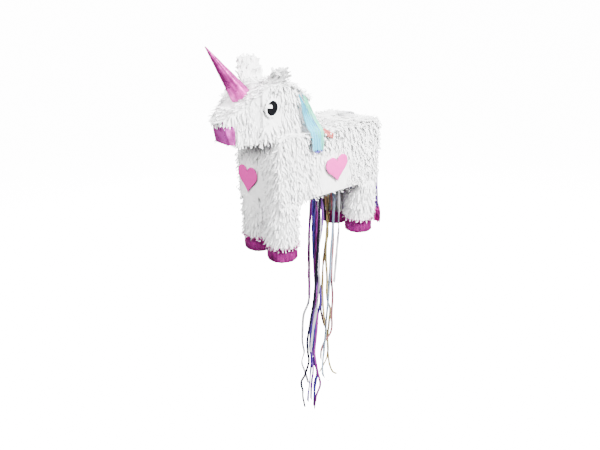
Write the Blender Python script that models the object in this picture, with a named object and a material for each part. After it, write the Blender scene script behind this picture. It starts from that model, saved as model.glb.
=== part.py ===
"""A unicorn pull-ribbon pinata: hollow cardboard carcass, tissue skins, foil trim and a belly trap door.

Metres, +Z up. The unicorn faces -X and its left flank is on -Y. The origin is the top of the
hanging eyelet in the back, which holds the pinata up.
"""

import math

import bmesh
import bpy
from mathutils import Matrix, Vector

MM = 0.001

# Driving dimensions
GAP = 0.0003  # between faces that touch
CARD = 0.0025  # corrugated board
FLAP_CARD = 0.0015  # the thinner board of the flaps and ears
SKIN = 0.0005  # tissue skin, pressed flat
BACK_Z = -0.0013  # top of the back panel
SOLE_Z = -0.2460
BELLY_Z = -0.1280  # underside of the belly panel
BODY_FRONT = -0.1150
BODY_REAR = 0.1520
BODY_HALF = 0.0610  # half of the body's width
CHEST_CORNER = 0.008
RUMP_CORNER = 0.012

LEG_FRONT = -0.0900
LEG_REAR = 0.1300
LEG_SIDE = 0.0360
LEG_RADIUS = 0.0285
LEG_WALL = 0.0018
HOOF_HEIGHT = 0.028
FOIL_WALL = 0.0012  # foil over its paper lining, on the hooves and the muzzle
HOOF_FLOOR = 0.0015
HOOF_CORNER = 0.0045

HEAD_HALF = 0.0500
HEAD_REAR = -0.0380
HEAD_TOP = 0.0880
CREST_BACK = 0.0340  # the crest slopes down over this length at the rear
CREST_DROP = 0.0240
HEAD_FRONT = -0.1400
FACE_SLOPE = math.radians(35)  # the nose bridge falls this steeply
NOSE_TOP = (-0.1990, 0.0340)  # front end of the nose bridge, X and Z
NOSE_FOOT = (-0.1895, -0.0070)
NOSE_HALF = 0.0170
CHEEK_HALF = 0.0460
SNOUT_CARD = 0.0020
SNOUT_SKIN_END = 0.70  # share of the snout's length, from the cheeks, that tissue covers
MUZZLE_START = 0.72  # share of the snout's length where the foil cup starts

HORN_LENGTH = 0.1030
HORN_RADIUS = 0.0175
HORN_WALL = 0.0010
HORN_TIP_RADIUS = 0.0012
HORN_HOLLOW = 0.82  # share of the length that is hollow
HORN_STEPS = 24
HORN_LEAN = math.radians(38)  # from vertical, forward
HORN_FOOT_X = -0.1490

EAR_WIDTH = 0.036
EAR_HEIGHT = 0.042
EAR_X = -0.0980
EAR_SIDE = 0.0360
EAR_LEANS = (("left_ear", -1, 38), ("right_ear", 1, 12))  # degrees outwards
EAR_STEPS = 8
EYE_X = -0.1245
EYE_Z = 0.0520
EYE_HALF_WIDTH = 0.0148
EYE_HALF_HEIGHT = 0.0158
HEART_WIDTH = 0.0590
FLANK_HEART = (0.0280, -0.0825)  # X and Z of its middle
FLANK_HEART_TILT = math.radians(5)
CHEST_HEART = (0.0280, -0.0940)  # Y and Z of its middle
STICKER = 0.0008

EYELET_FLANGE = 0.0080
EYELET_BARREL = 0.0050
EYELET_BORE = 0.0040
WASHER_RADIUS = 0.0120
WASHER = 0.0010

FILL_X = 0.1150
FILL_HOLE = 0.0205
FILL_FLAP = 0.0240
ROSETTE_RADIUS = 0.0215
HINGE_SETBACK = 0.0015  # from a flap's edge to its hinge line
TAPE_LENGTH = 0.0080
TAPE_WIDTH = 0.0160
PATCH_HALF = 0.0080  # the square that holds the pull ribbon to the door

DOOR_X = 0.0480  # middle of the trap door
DOOR_HALF = 0.0290
DOOR_LAP = 0.0040  # how far the door laps over the edge of its hole
DOOR_HINGE_Y = DOOR_HALF + HINGE_SETBACK
BAR_OFFSET = 0.0360  # from the middle of the door to each glued bar of ribbons
BAR_HALF_WIDTH = 0.0040
BAR_LEFT = -0.0380  # Y of each bar's ends
BAR_RIGHT = 0.0340
RIBBON_RADIUS = 0.0010
PULL_DROP = 0.0025  # the pull ribbon turns this far below the door

SKIN_IN = GAP
SKIN_OUT = GAP + SKIN
ROUND_STEPS = 40

# Colours, roughness and metallic value
WHITE_TISSUE = ((0.90, 0.90, 0.90), 0.90, 0.0)
BROWN_CARD = ((0.45, 0.32, 0.20), 0.90, 0.0)
PINK_FOIL = ((0.60, 0.10, 0.36), 0.25, 0.9)
PINK_SATIN = ((0.70, 0.24, 0.46), 0.35, 0.4)
PINK_CARD = ((0.76, 0.30, 0.52), 0.75, 0.0)
EYE_VINYL = ((0.85, 0.85, 0.85), 0.30, 0.0)
METAL = ((0.60, 0.60, 0.62), 0.30, 1.0)
TAPE = ((0.80, 0.74, 0.60), 0.60, 0.0)
MANE_BLUE = ((0.10, 0.50, 0.70), 0.85, 0.0)
MANE_GREEN = ((0.35, 0.75, 0.60), 0.85, 0.0)
MANE_PURPLE = ((0.35, 0.20, 0.60), 0.85, 0.0)

# The mane's streamers: name, shift along the neck, half width, look. Each lies on the one before.
MANE = (
    ("mane_purple", 0.0030, 0.0120, MANE_PURPLE),
    ("mane_green", 0.0070, 0.0110, MANE_GREEN),
    ("mane_blue", -0.0030, 0.0125, MANE_BLUE),
)
MANE_X = -0.0630
MANE_LAYER_RISE = 0.0040
# How they fall: distance back from the top, height, share of the full width
MANE_FALL = ((0.0, 0.068, 0.2), (0.008, 0.050, 0.5), (0.016, 0.030, 0.8),
             (0.024, 0.012, 0.95), (0.029, 0.001, 1.0), (0.034, -0.032, 1.0))
TAIL_Y = -0.0480
# The tail: distance off the rump, height, half width
TAIL_FALL = ((0.0, -0.035, 0.004), (0.002, -0.070, 0.006), (0.009, -0.115, 0.007),
             (0.015, -0.165, 0.009), (0.016, -0.205, 0.012), (0.014, -0.234, 0.010))

# The bunch of ribbons is laid out in vertical planes, turned this far from the pinata's length.
# ACROSS runs along each plane and DEEP from one plane to the next, away from the left flank.
BUNCH_TURN = math.radians(-42.1)
BUNCH_X = 0.0200
ROUTE_POINTS = 24

# Each ribbon: name, side of its bar (-1 front, 1 rear), colour, and its route as pairs of
# millimetres: across the bunch, and height. The first pair is where it leaves the glued bar.
RIBBONS = (
    ("ribbon_grey", -1, (0.45, 0.45, 0.48),
     ((-1.9, -131), (-1, -170), (-3.5, -240), (-2.5, -330), (-3.4, -397), (-14.9, -436),
      (-17.5, -488), (-16.4, -517), (-13, -538), (-19, -564), (-11, -592), (-3.1, -625))),
    ("ribbon_magenta", -1, (0.42, 0.03, 0.28),
     ((0.8, -131), (0, -169), (-4, -234), (-4.4, -290), (-4, -336), (-3, -391))),
    ("ribbon_violet", -1, (0.14, 0.05, 0.42),
     ((3.5, -131), (4.4, -169), (4.1, -234), (9.5, -336), (12.2, -370), (6.3, -412),
      (2.4, -449), (1.2, -488), (-0.3, -517), (4, -552), (2, -590), (-2, -640), (-4, -676))),
    ("ribbon_blue", -1, (0.05, 0.06, 0.40),
     ((6.2, -131), (7, -180), (6.5, -240), (11, -330), (12, -375), (14, -420), (11, -470),
      (8, -520), (13, -560), (17, -592), (12, -640), (11, -688))),
    ("ribbon_navy", -1, (0.02, 0.03, 0.15),
     ((8.9, -131), (10, -175), (9.3, -253), (16.4, -330), (20.2, -357), (22.5, -391),
      (17, -425), (15.6, -458), (12, -500), (10, -553), (16.6, -585), (10.3, -622), (11, -679))),
    ("ribbon_purple", -1, (0.30, 0.06, 0.35),
     ((11.5, -131), (12, -200), (10, -300), (13, -400), (15.8, -440), (13, -490), (11, -530),
      (18, -580), (25, -617), (16, -652), (12, -692))),
    ("ribbon_silver", -1, (0.60, 0.62, 0.66),
     ((14.2, -131), (14.5, -159), (18.6, -200), (17.5, -234), (14.5, -279), (16.4, -313),
      (19, -336), (17, -370), (13, -410), (8, -450), (4, -490), (1, -524))),
    ("ribbon_black", -1, (0.01, 0.01, 0.02),
     ((16.9, -131), (16, -200), (13, -290), (8, -380), (0, -440), (-6, -490), (-5, -520),
      (-3, -548), (-11, -584), (-20, -606), (-16.5, -632), (-15.5, -653), (-11.4, -680))),
    ("ribbon_jet", 1, (0.02, 0.02, 0.03),
     ((28.6, -131), (28.6, -187), (33, -218), (38.2, -243), (40, -266), (37, -292),
      (32.8, -318), (31.1, -344), (29, -375), (27.6, -436), (27.6, -465), (31.5, -490),
      (38, -514))),
    ("ribbon_gold", 1, (0.50, 0.36, 0.12),
     ((33.3, -131), (33.7, -169), (34.5, -193), (40.5, -227), (36.9, -268), (31.7, -323),
      (30, -370), (31, -430), (36, -490), (45, -550), (46, -594), (37, -622), (27, -647))),
    ("ribbon_yellow", 1, (0.70, 0.62, 0.25),
     ((38, -131), (38, -200), (36.5, -280), (36.5, -323), (40, -370), (40, -410),
      (43, -436), (49, -460), (47, -500), (44.5, -540), (47, -585), (50, -614), (59, -640),
      (70, -648))),
    ("ribbon_rose", 1, (0.42, 0.22, 0.22),
     ((43.4, -131), (43.6, -161), (48.5, -196), (51.3, -234), (52.2, -279), (50.4, -323),
      (50, -370), (53.3, -410), (53.6, -440), (52.6, -470), (54, -501), (50, -524),
      (38, -546), (30, -570), (28.5, -600))),
    ("ribbon_sky", 1, (0.35, 0.48, 0.62),
     ((50.1, -131), (50, -220), (47, -300), (44, -400), (40, -480), (36, -560), (33, -620),
      (37, -648), (50, -660))),
    ("ribbon_pearl", 1, (0.75, 0.75, 0.78),
     ((60.2, -131), (60.2, -180), (61.5, -240), (59.1, -292), (57, -334), (55, -372))),
)

# The pull ribbon, in millimetres from the middle of the door: X, Y and height.
PULL_ROUTE = (
    (0, 0, -131.3), (1, 0, -160), (6, 0.5, -190), (8, 1, -215), (5, 1, -240), (0, 1.5, -270),
    (-1, 2, -300), (0, 2, -330), (-4, 2, -370), (-10, 2, -420), (-16, 2, -470),
    (-20, 2, -520), (-18, 2, -560), (-14, 2, -600), (-19, 2, -640), (-21, 2, -688),
)


def clear_scene():
    for old in list(bpy.data.objects):
        bpy.data.objects.remove(old)


def paint(obj, look):
    colour, roughness, metallic = look
    material = bpy.data.materials.new(obj.name + "_look")
    material.use_nodes = True
    shader = material.node_tree.nodes["Principled BSDF"]
    shader.inputs["Base Color"].default_value = (*colour, 1.0)
    shader.inputs["Roughness"].default_value = roughness
    shader.inputs["Metallic"].default_value = metallic
    obj.data.materials.append(material)


def new_object(name, bm, look=None, smooth=False, origin=None):
    """Puts a finished bmesh in the scene, with its origin at a world point."""
    bmesh.ops.recalc_face_normals(bm, faces=bm.faces)
    if origin is not None:
        bmesh.ops.translate(bm, verts=bm.verts, vec=-Vector(origin))
    mesh = bpy.data.meshes.new(name)
    bm.to_mesh(mesh)
    bm.free()
    obj = bpy.data.objects.new(name, mesh)
    bpy.context.scene.collection.objects.link(obj)
    if origin is not None:
        obj.location = origin
    if smooth:
        mesh.shade_smooth()
        mesh.set_sharp_from_angle(angle=math.radians(40))
    if look is not None:
        paint(obj, look)
    return obj


def cut(obj, cutter, operation="DIFFERENCE"):
    """Boolean with the exact solver; the cutter stays as a hidden helper."""
    cutter.hide_render = True
    cutter.display_type = "WIRE"
    modifier = obj.modifiers.new("cut_" + cutter.name, "BOOLEAN")
    modifier.operation = operation
    modifier.solver = "EXACT"
    modifier.object = cutter


def loft(rings):
    """A closed solid through rings of equal point counts, flat at both ends."""
    bm = bmesh.new()
    made = [[bm.verts.new(point) for point in ring] for ring in rings]
    for lower, upper in zip(made, made[1:]):
        for i in range(len(lower)):
            j = (i + 1) % len(lower)
            bm.faces.new((lower[i], lower[j], upper[j], upper[i]))
    bm.faces.new(made[0])
    bm.faces.new(made[-1])
    return bm


def box(low, high):
    corners = [(low[0], low[1]), (high[0], low[1]), (high[0], high[1]), (low[0], high[1])]
    return loft([[(x, y, z) for x, y in corners] for z in (low[2], high[2])])


def side_prism(outline, half_width, middle=0.0):
    """An outline of X and Z points, extruded across the pinata."""
    return loft([[(x, y, z) for x, z in outline] for y in (middle - half_width, middle + half_width)])


def plan_disc(x, y, radius, low, high, steps=ROUND_STEPS):
    turned = [math.tau * i / steps for i in range(steps)]
    ring = [(x + radius * math.cos(a), y + radius * math.sin(a)) for a in turned]
    return loft([[(px, py, z) for px, py in ring] for z in (low, high)])


def turned_shell(profile, x, y, steps=ROUND_STEPS):
    """Spins a closed profile of radius and height pairs about a vertical line."""
    bm = bmesh.new()
    rings = []
    for i in range(steps):
        cos, sin = math.cos(math.tau * i / steps), math.sin(math.tau * i / steps)
        rings.append([bm.verts.new((x + r * cos, y + r * sin, z)) for r, z in profile])
    for i in range(steps):
        here, following = rings[i], rings[(i + 1) % steps]
        for k in range(len(profile)):
            m = (k + 1) % len(profile)
            bm.faces.new((here[k], following[k], following[m], here[m]))
    return bm


def arc(centre, radius, start, end, steps=6):
    """Points of X and Z along a round corner, angles in degrees."""
    turned = [math.radians(start + (end - start) * i / steps) for i in range(steps + 1)]
    return [(centre[0] + radius * math.cos(a), centre[1] + radius * math.sin(a)) for a in turned]


def body_outline(grow=0.0):
    """The flank's outline: a long box with rounded corners."""
    front, rear = BODY_FRONT - grow, BODY_REAR + grow
    low, high = BELLY_Z - grow, BACK_Z + grow
    chest, rump = CHEST_CORNER + grow, RUMP_CORNER + grow
    points = arc((front + chest, high - chest), chest, 180, 90)
    points += arc((rear - rump, high - rump), rump, 90, 0)
    points += arc((rear - rump, low + rump), rump, 0, -90)
    points += arc((front + chest, low + chest), chest, -90, -180)
    return points


def end_strip(x_sign, edge, corner):
    """Outline of the bent end panel: the flank's end, one board thick, between the side panels."""
    x = edge - x_sign * corner
    turn = (90, 0, -90) if x_sign > 0 else (90, 180, 270)
    outer = arc((x, BACK_Z - corner), corner, turn[0], turn[1])
    outer += arc((x, BELLY_Z + corner), corner, turn[1], turn[2])
    inner = arc((x, BACK_Z - corner), corner - CARD, turn[0], turn[1])
    inner += arc((x, BELLY_Z + corner), corner - CARD, turn[1], turn[2])
    return outer + inner[::-1]


def body_panels():
    inner_half = BODY_HALF - CARD - GAP
    for side, y in (("left", -1), ("right", 1)):
        middle = y * (BODY_HALF - CARD / 2)
        new_object("side_panel_" + side, side_prism(body_outline(), CARD / 2, middle), BROWN_CARD)
    new_object("chest_panel", side_prism(end_strip(-1, BODY_FRONT, CHEST_CORNER), inner_half), BROWN_CARD)
    new_object("rump_panel", side_prism(end_strip(1, BODY_REAR, RUMP_CORNER), inner_half), BROWN_CARD)
    front = BODY_FRONT + CHEST_CORNER + GAP
    rear = BODY_REAR - RUMP_CORNER - GAP
    back = new_object(
        "back_panel",
        box((front, -inner_half, BACK_Z - CARD), (rear, inner_half, BACK_Z)),
        BROWN_CARD,
    )
    low, high = BACK_Z - 2 * CARD, BACK_Z + CARD
    cut(back, new_object("fill_hole_cutter", plan_disc(FILL_X, 0, FILL_HOLE, low, high)))
    cut(back, new_object("eyelet_cutter", plan_disc(0, 0, EYELET_BARREL + GAP, low, high)))
    belly = new_object(
        "belly_panel",
        box((front, -inner_half, BELLY_Z), (rear, inner_half, BELLY_Z + CARD)),
        BROWN_CARD,
    )
    hole = DOOR_HALF - DOOR_LAP
    hole_low = (DOOR_X - hole, -hole, BELLY_Z - CARD)
    hole_high = (DOOR_X + hole, hole, BELLY_Z + 2 * CARD)
    cut(belly, new_object("trap_hole_cutter", box(hole_low, hole_high)))


def head_outline(grow=0.0):
    """The head and neck block from the side; the front top corner follows the nose bridge."""
    slope = math.tan(FACE_SLOPE)
    lift = grow / math.cos(FACE_SLOPE)
    front, rear, top = HEAD_FRONT - grow, HEAD_REAR + grow, HEAD_TOP + grow
    bridge_at_front = NOSE_TOP[1] + (front - NOSE_TOP[0]) * slope + lift
    brow_x = NOSE_TOP[0] + (top - lift - NOSE_TOP[1]) / slope
    foot = BACK_Z + GAP
    return [(rear, foot), (rear, top - CREST_DROP), (rear - CREST_BACK, top), (brow_x, top),
            (front, bridge_at_front), (front, foot)]


def snout_rings(grow=0.0, start=0.0, end=1.0, front_grow=0.0):
    """Rectangular sections of the snout from the cheeks (0) to the nose (1)."""
    slope = math.tan(FACE_SLOPE)
    back_x = HEAD_FRONT - GAP
    taper = (CHEEK_HALF - NOSE_HALF) / (back_x - NOSE_TOP[0])
    rings = []
    for part in (start, end):
        push = front_grow if part == end else 0.0
        top_x = back_x + (NOSE_TOP[0] - back_x) * part - push
        top_z = NOSE_TOP[1] + (top_x - NOSE_TOP[0]) * slope + grow / math.cos(FACE_SLOPE)
        foot_x = back_x + (NOSE_FOOT[0] - back_x) * part - push
        foot_z = NOSE_FOOT[1] - grow
        top_half, foot_half = (CHEEK_HALF - taper * (back_x - x) + grow for x in (top_x, foot_x))
        rings.append([
            (foot_x, -foot_half, foot_z), (foot_x, foot_half, foot_z),
            (top_x, top_half, top_z), (top_x, -top_half, top_z),
        ])
    return rings


def head():
    shell = new_object("head_shell", side_prism(head_outline(), HEAD_HALF), BROWN_CARD)
    hollow = [(x, z - CARD if z < 0 else z) for x, z in head_outline(-CARD)]
    cut(shell, new_object("head_hollow_cutter", side_prism(hollow, HEAD_HALF - CARD)))
    snout = new_object("snout_shell", loft(snout_rings()), BROWN_CARD)
    cut(snout, new_object("snout_hollow_cutter", loft(snout_rings(-SNOUT_CARD, -0.1, 1.1))))
    cup = snout_rings(GAP + FOIL_WALL, MUZZLE_START, 1.0, GAP + FOIL_WALL)
    muzzle = new_object("muzzle_cup", loft(cup), PINK_FOIL)
    pocket = snout_rings(GAP, MUZZLE_START - 0.12, 1.0, GAP)
    cut(muzzle, new_object("muzzle_hollow_cutter", loft(pocket)))


def head_skin():
    """The tissue skin over the head block and the snout, open under the neck and at the nose."""
    skin = new_object("head_fringe", side_prism(head_outline(SKIN_OUT), HEAD_HALF + SKIN_OUT), WHITE_TISSUE)
    cut(skin, new_object("snout_skin_helper", loft(snout_rings(SKIN_OUT, 0.0, SNOUT_SKIN_END))), "UNION")
    block = [(x, z - CARD if z < 0 else z) for x, z in head_outline(SKIN_IN)]
    cut(skin, new_object("head_block_cutter", side_prism(block, HEAD_HALF + SKIN_IN)))
    cut(skin, new_object("snout_block_cutter", loft(snout_rings(SKIN_IN, -0.05, SNOUT_SKIN_END + 0.05))))


def body_skin():
    """The tissue skin over the carcass, with openings for the head, legs, flap, eyelet and door."""
    skin = new_object(
        "body_fringe", side_prism(body_outline(SKIN_OUT), BODY_HALF + SKIN_OUT), WHITE_TISSUE
    )
    cut(skin, new_object("carcass_cutter", side_prism(body_outline(SKIN_IN), BODY_HALF + SKIN_IN)))
    above, below = BACK_Z + CARD, BELLY_Z - CARD
    reach = SKIN_OUT + GAP
    neck_low = (BODY_FRONT - CARD, -HEAD_HALF - reach, BACK_Z - CARD / 2)
    neck_high = (HEAD_REAR + reach, HEAD_HALF + reach, above)
    cut(skin, new_object("neck_opening_cutter", box(neck_low, neck_high)))
    low = BACK_Z - CARD
    cut(skin, new_object("eyelet_opening_cutter", plan_disc(0, 0, EYELET_FLANGE + 2 * GAP, low, above)))
    cut(skin, new_object("flap_opening_cutter", plan_disc(FILL_X, 0, FILL_FLAP + 2 * GAP, low, above)))
    tape_front = FILL_X - FILL_FLAP - HINGE_SETBACK - TAPE_LENGTH - 2 * GAP
    tape_half = TAPE_WIDTH / 2 + 2 * GAP
    tape_box = box((tape_front, -tape_half, low), (FILL_X, tape_half, above))
    cut(skin, new_object("tape_opening_cutter", tape_box))
    for name, x, y in leg_places():
        leg_hole = plan_disc(x, y, LEG_RADIUS + GAP, below, BELLY_Z + CARD)
        cut(skin, new_object(name + "_opening_cutter", leg_hole))
    reach_x = BAR_OFFSET + BAR_HALF_WIDTH + 2 * GAP
    door_low = (DOOR_X - reach_x, BAR_LEFT - 2 * GAP, below)
    door_high = (DOOR_X + reach_x, DOOR_HINGE_Y + TAPE_LENGTH + 2 * GAP, BELLY_Z + CARD)
    cut(skin, new_object("door_opening_cutter", box(door_low, door_high)))


def leg_places():
    return [
        ("front_left", LEG_FRONT, -LEG_SIDE),
        ("front_right", LEG_FRONT, LEG_SIDE),
        ("rear_left", LEG_REAR, -LEG_SIDE),
        ("rear_right", LEG_REAR, LEG_SIDE),
    ]


def leg(name, x, y):
    """A rolled tube under the belly, its tissue sleeve, and the foil cup of the hoof."""
    foot = SOLE_Z + HOOF_FLOOR + GAP
    top = BELLY_Z - GAP
    bore = LEG_RADIUS - LEG_WALL
    tube = [(LEG_RADIUS, foot), (LEG_RADIUS, top), (bore, top), (bore, foot)]
    new_object(name + "_leg", turned_shell(tube, x, y), BROWN_CARD, smooth=True)
    hoof_top = SOLE_Z + HOOF_HEIGHT
    sleeve_top = BELLY_Z - SKIN_OUT - GAP
    inner, outer = LEG_RADIUS + SKIN_IN, LEG_RADIUS + SKIN_OUT
    sleeve = [(outer, hoof_top + GAP), (outer, sleeve_top), (inner, sleeve_top), (inner, hoof_top + GAP)]
    new_object(name + "_fringe", turned_shell(sleeve, x, y), WHITE_TISSUE, smooth=True)
    cup_in = LEG_RADIUS + GAP
    cup_out = cup_in + FOIL_WALL
    hoof = new_object(name + "_hoof", turned_foot(x, y, cup_out, hoof_top), PINK_FOIL, smooth=True)
    pocket = plan_disc(x, y, cup_in, SOLE_Z + HOOF_FLOOR, hoof_top + CARD)
    cut(hoof, new_object(name + "_pocket_cutter", pocket))


def turned_foot(x, y, radius, top):
    """A solid drum with a rounded lower edge and a flat sole."""
    corner = (radius - HOOF_CORNER, SOLE_Z + HOOF_CORNER)
    rings = [*arc(corner, HOOF_CORNER, -90, 0, 4), (radius, top)]
    turned = [math.tau * i / ROUND_STEPS for i in range(ROUND_STEPS)]
    return loft([[(x + r * math.cos(a), y + r * math.sin(a), z) for a in turned] for r, z in rings])


def horn():
    """A rolled cone, open underneath, standing on the nose bridge."""
    slope = math.tan(FACE_SLOPE)
    bm = bmesh.new()
    outer = [(HORN_RADIUS, 0.0), (HORN_TIP_RADIUS, HORN_LENGTH)]
    inner = [(HORN_RADIUS - HORN_WALL, 0.0), (HORN_TIP_RADIUS + 0.8 * MM, HORN_LENGTH * HORN_HOLLOW)]
    turned = [math.tau * i / HORN_STEPS for i in range(HORN_STEPS)]
    rings = []
    for radius, height in (*outer, inner[1], inner[0]):
        rings.append([bm.verts.new((radius * math.cos(a), radius * math.sin(a), height)) for a in turned])
    for a, b in ((0, 1), (3, 2), (0, 3)):
        for i in range(HORN_STEPS):
            j = (i + 1) % HORN_STEPS
            bm.faces.new((rings[a][i], rings[a][j], rings[b][j], rings[b][i]))
    bm.faces.new(rings[1])
    bm.faces.new(rings[2])
    foot_z = NOSE_TOP[1] + (HORN_FOOT_X - NOSE_TOP[0]) * slope
    stand_off = SKIN_OUT + GAP + HORN_RADIUS * abs(math.sin(HORN_LEAN - FACE_SLOPE)) + GAP
    bmesh.ops.translate(bm, verts=bm.verts, vec=(0, 0, stand_off))
    lean = Matrix.Rotation(-HORN_LEAN, 4, "Y")
    bmesh.ops.transform(bm, matrix=Matrix.Translation((HORN_FOOT_X, 0, foot_z)) @ lean, verts=bm.verts)
    new_object("horn", bm, PINK_SATIN, smooth=True)


def ears():
    """Pointed flaps on the crown, leaning out; the left one leans further."""
    half = EAR_WIDTH / 2
    for name, side, lean in EAR_LEANS:
        levels = [i / EAR_STEPS for i in range(EAR_STEPS)]
        outline = [(half * (1 - level**2), EAR_HEIGHT * level) for level in levels]
        outline += [(0.0, EAR_HEIGHT)]
        outline += [(-px, pz) for px, pz in reversed(outline[:-1])]
        bm = side_prism(outline, FLAP_CARD / 2)
        stand = Vector((EAR_X, side * EAR_SIDE, HEAD_TOP + SKIN_OUT + FLAP_CARD))
        turn = Matrix.Rotation(-side * math.radians(lean), 4, "X")
        bmesh.ops.transform(bm, matrix=Matrix.Translation(stand) @ turn, verts=bm.verts)
        new_object(name, bm, WHITE_TISSUE)


def heart_points(width, steps=40):
    """A heart about its middle, as pairs across and up."""
    unit = width / 32
    points = []
    for i in range(steps):
        t = math.tau * i / steps
        across = 16 * math.sin(t) ** 3
        up = 13 * math.cos(t) - 5 * math.cos(2 * t) - 2 * math.cos(3 * t) - math.cos(4 * t)
        points.append((across * unit, (up + 2.5) * unit))
    return points


def stickers():
    """Eyes on the head, hearts on the flanks and the chest: flat pieces over the skin."""
    lift = SKIN_OUT + GAP + STICKER / 2
    tilt_cos, tilt_sin = math.cos(FLANK_HEART_TILT), math.sin(FLANK_HEART_TILT)
    for name, side in (("left", -1), ("right", 1)):
        eye = [
            (EYE_X + EYE_HALF_WIDTH * math.cos(a), EYE_Z + EYE_HALF_HEIGHT * math.sin(a))
            for a in (math.tau * i / ROUND_STEPS for i in range(ROUND_STEPS))
        ]
        new_object(name + "_eye", side_prism(eye, STICKER / 2, side * (HEAD_HALF + lift)), EYE_VINYL)
        heart = [
            (FLANK_HEART[0] + a * tilt_cos - b * tilt_sin, FLANK_HEART[1] + a * tilt_sin + b * tilt_cos)
            for a, b in heart_points(HEART_WIDTH)
        ]
        new_object(name + "_heart", side_prism(heart, STICKER / 2, side * (BODY_HALF + lift)), PINK_CARD)
    x = BODY_FRONT - lift
    faces = [x - STICKER / 2, x + STICKER / 2]
    heart = [(CHEST_HEART[0] + a, CHEST_HEART[1] + b) for a, b in heart_points(HEART_WIDTH)]
    rings = [[(px, y, z) for y, z in heart] for px in faces]
    new_object("chest_heart", loft(rings), PINK_CARD)


def hanging_eyelet():
    """The metal eyelet through the back panel, and the washer that backs it."""
    barrel_foot = BACK_Z - CARD - WASHER - 2 * GAP
    seat = BACK_Z + GAP
    profile = [
        (EYELET_BORE, barrel_foot), (EYELET_BARREL, barrel_foot), (EYELET_BARREL, seat),
        (EYELET_FLANGE, seat), (EYELET_FLANGE, -GAP), (EYELET_FLANGE - GAP, 0.0), (EYELET_BORE, 0.0),
    ]
    new_object("hanging_eyelet", turned_shell(profile, 0, 0, 32), METAL, smooth=True)
    high = BACK_Z - CARD - GAP
    low = high - WASHER
    bore = EYELET_BARREL + GAP
    profile = [(bore, low), (WASHER_RADIUS, low), (WASHER_RADIUS, high), (bore, high)]
    new_object("eyelet_washer", turned_shell(profile, 0, 0, 32), METAL, smooth=True)


def fill_flap():
    """The round flap over the fill hole. It turns up about its front edge."""
    hinge = (FILL_X - FILL_FLAP - HINGE_SETBACK, 0.0, BACK_Z + GAP)
    low = BACK_Z + GAP
    high = low + FLAP_CARD
    new_object("fill_flap", plan_disc(FILL_X, 0, FILL_FLAP, low, high), BROWN_CARD, origin=hinge)
    petals = plan_disc(FILL_X, 0, ROSETTE_RADIUS, high + GAP, high + GAP + 2 * SKIN)
    new_object("flap_rosette", petals, WHITE_TISSUE, origin=hinge)
    front = hinge[0] - TAPE_LENGTH
    tape = box((front, -TAPE_WIDTH / 2, low), (hinge[0] - GAP, TAPE_WIDTH / 2, low + SKIN))
    new_object("fill_flap_tape", tape, TAPE)


def trap_door():
    """The door under the belly. It turns down about its right edge, and the pull ribbon is glued to it."""
    hinge = (DOOR_X, DOOR_HINGE_Y, BELLY_Z - GAP)
    high = BELLY_Z - GAP
    low = high - FLAP_CARD
    door = box((DOOR_X - DOOR_HALF, -DOOR_HALF, low), (DOOR_X + DOOR_HALF, DOOR_HALF, high))
    new_object("trap_door", door, BROWN_CARD, origin=hinge)
    tape = box(
        (DOOR_X - DOOR_HALF, hinge[1] + GAP, high - SKIN),
        (DOOR_X + DOOR_HALF, hinge[1] + TAPE_LENGTH, high),
    )
    new_object("trap_door_tape", tape, TAPE)
    patch = box(
        (DOOR_X - PATCH_HALF, -PATCH_HALF, low - GAP - SKIN),
        (DOOR_X + PATCH_HALF, PATCH_HALF, low - GAP),
    )
    new_object("ribbon_patch", patch, TAPE, origin=hinge)


def ribbon_bars():
    for name, side in (("front_ribbon_bar", -1), ("rear_ribbon_bar", 1)):
        x = DOOR_X + side * BAR_OFFSET
        low = (x - BAR_HALF_WIDTH, BAR_LEFT, BELLY_Z - GAP - FLAP_CARD)
        high = (x + BAR_HALF_WIDTH, BAR_RIGHT, BELLY_Z - GAP)
        new_object(name, box(low, high), TAPE)


def smooth_route(points, count=ROUTE_POINTS):
    """Points read at even steps from a smooth curve through the route's own points."""
    knots = [points[0], *points, points[-1]]
    stretches = len(points) - 1
    route = []
    for i in range(count):
        place = stretches * i / (count - 1)
        k = min(int(place), stretches - 1)
        t = place - k
        a, b, c, d = (Vector(knots[k + n]) for n in range(4))
        route.append(
            0.5 * (2 * b + (c - a) * t + (2 * a - 5 * b + 4 * c - d) * t**2 + (3 * b - a - 3 * c + d) * t**3)
        )
    return route


def ribbon(name, points, colour, origin=(0.0, 0.0, 0.0)):
    """A ribbon as a round tube along its route."""
    curve = bpy.data.curves.new(name, "CURVE")
    curve.dimensions = "3D"
    curve.bevel_depth = RIBBON_RADIUS
    curve.bevel_resolution = 2
    curve.use_fill_caps = True
    route = smooth_route(points)
    spline = curve.splines.new("POLY")
    spline.points.add(len(route) - 1)
    for knot, point in zip(spline.points, route):
        knot.co = (*(point - Vector(origin)), 1.0)
    obj = bpy.data.objects.new(name, curve)
    bpy.context.scene.collection.objects.link(obj)
    obj.location = origin
    paint(obj, (colour, 0.25, 0.3))


def ribbons():
    cos, sin = math.cos(BUNCH_TURN), math.sin(BUNCH_TURN)
    for name, side, colour, pairs in RIBBONS:
        start_x = DOOR_X + side * BAR_OFFSET - BUNCH_X
        deep = (start_x - pairs[0][0] * MM * cos) / -sin
        points = []
        for across, height in pairs:
            x = BUNCH_X + across * MM * cos - deep * sin
            y = across * MM * sin + deep * cos
            points.append((x, y, height * MM))
        ribbon(name, points, colour)
    pivot = (DOOR_X, 0.0, BELLY_Z - GAP - FLAP_CARD - PULL_DROP)
    points = [(DOOR_X + x * MM, y * MM, height * MM) for x, y, height in PULL_ROUTE]
    ribbon("pull_ribbon", points, (0.02, 0.02, 0.04), pivot)


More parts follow.
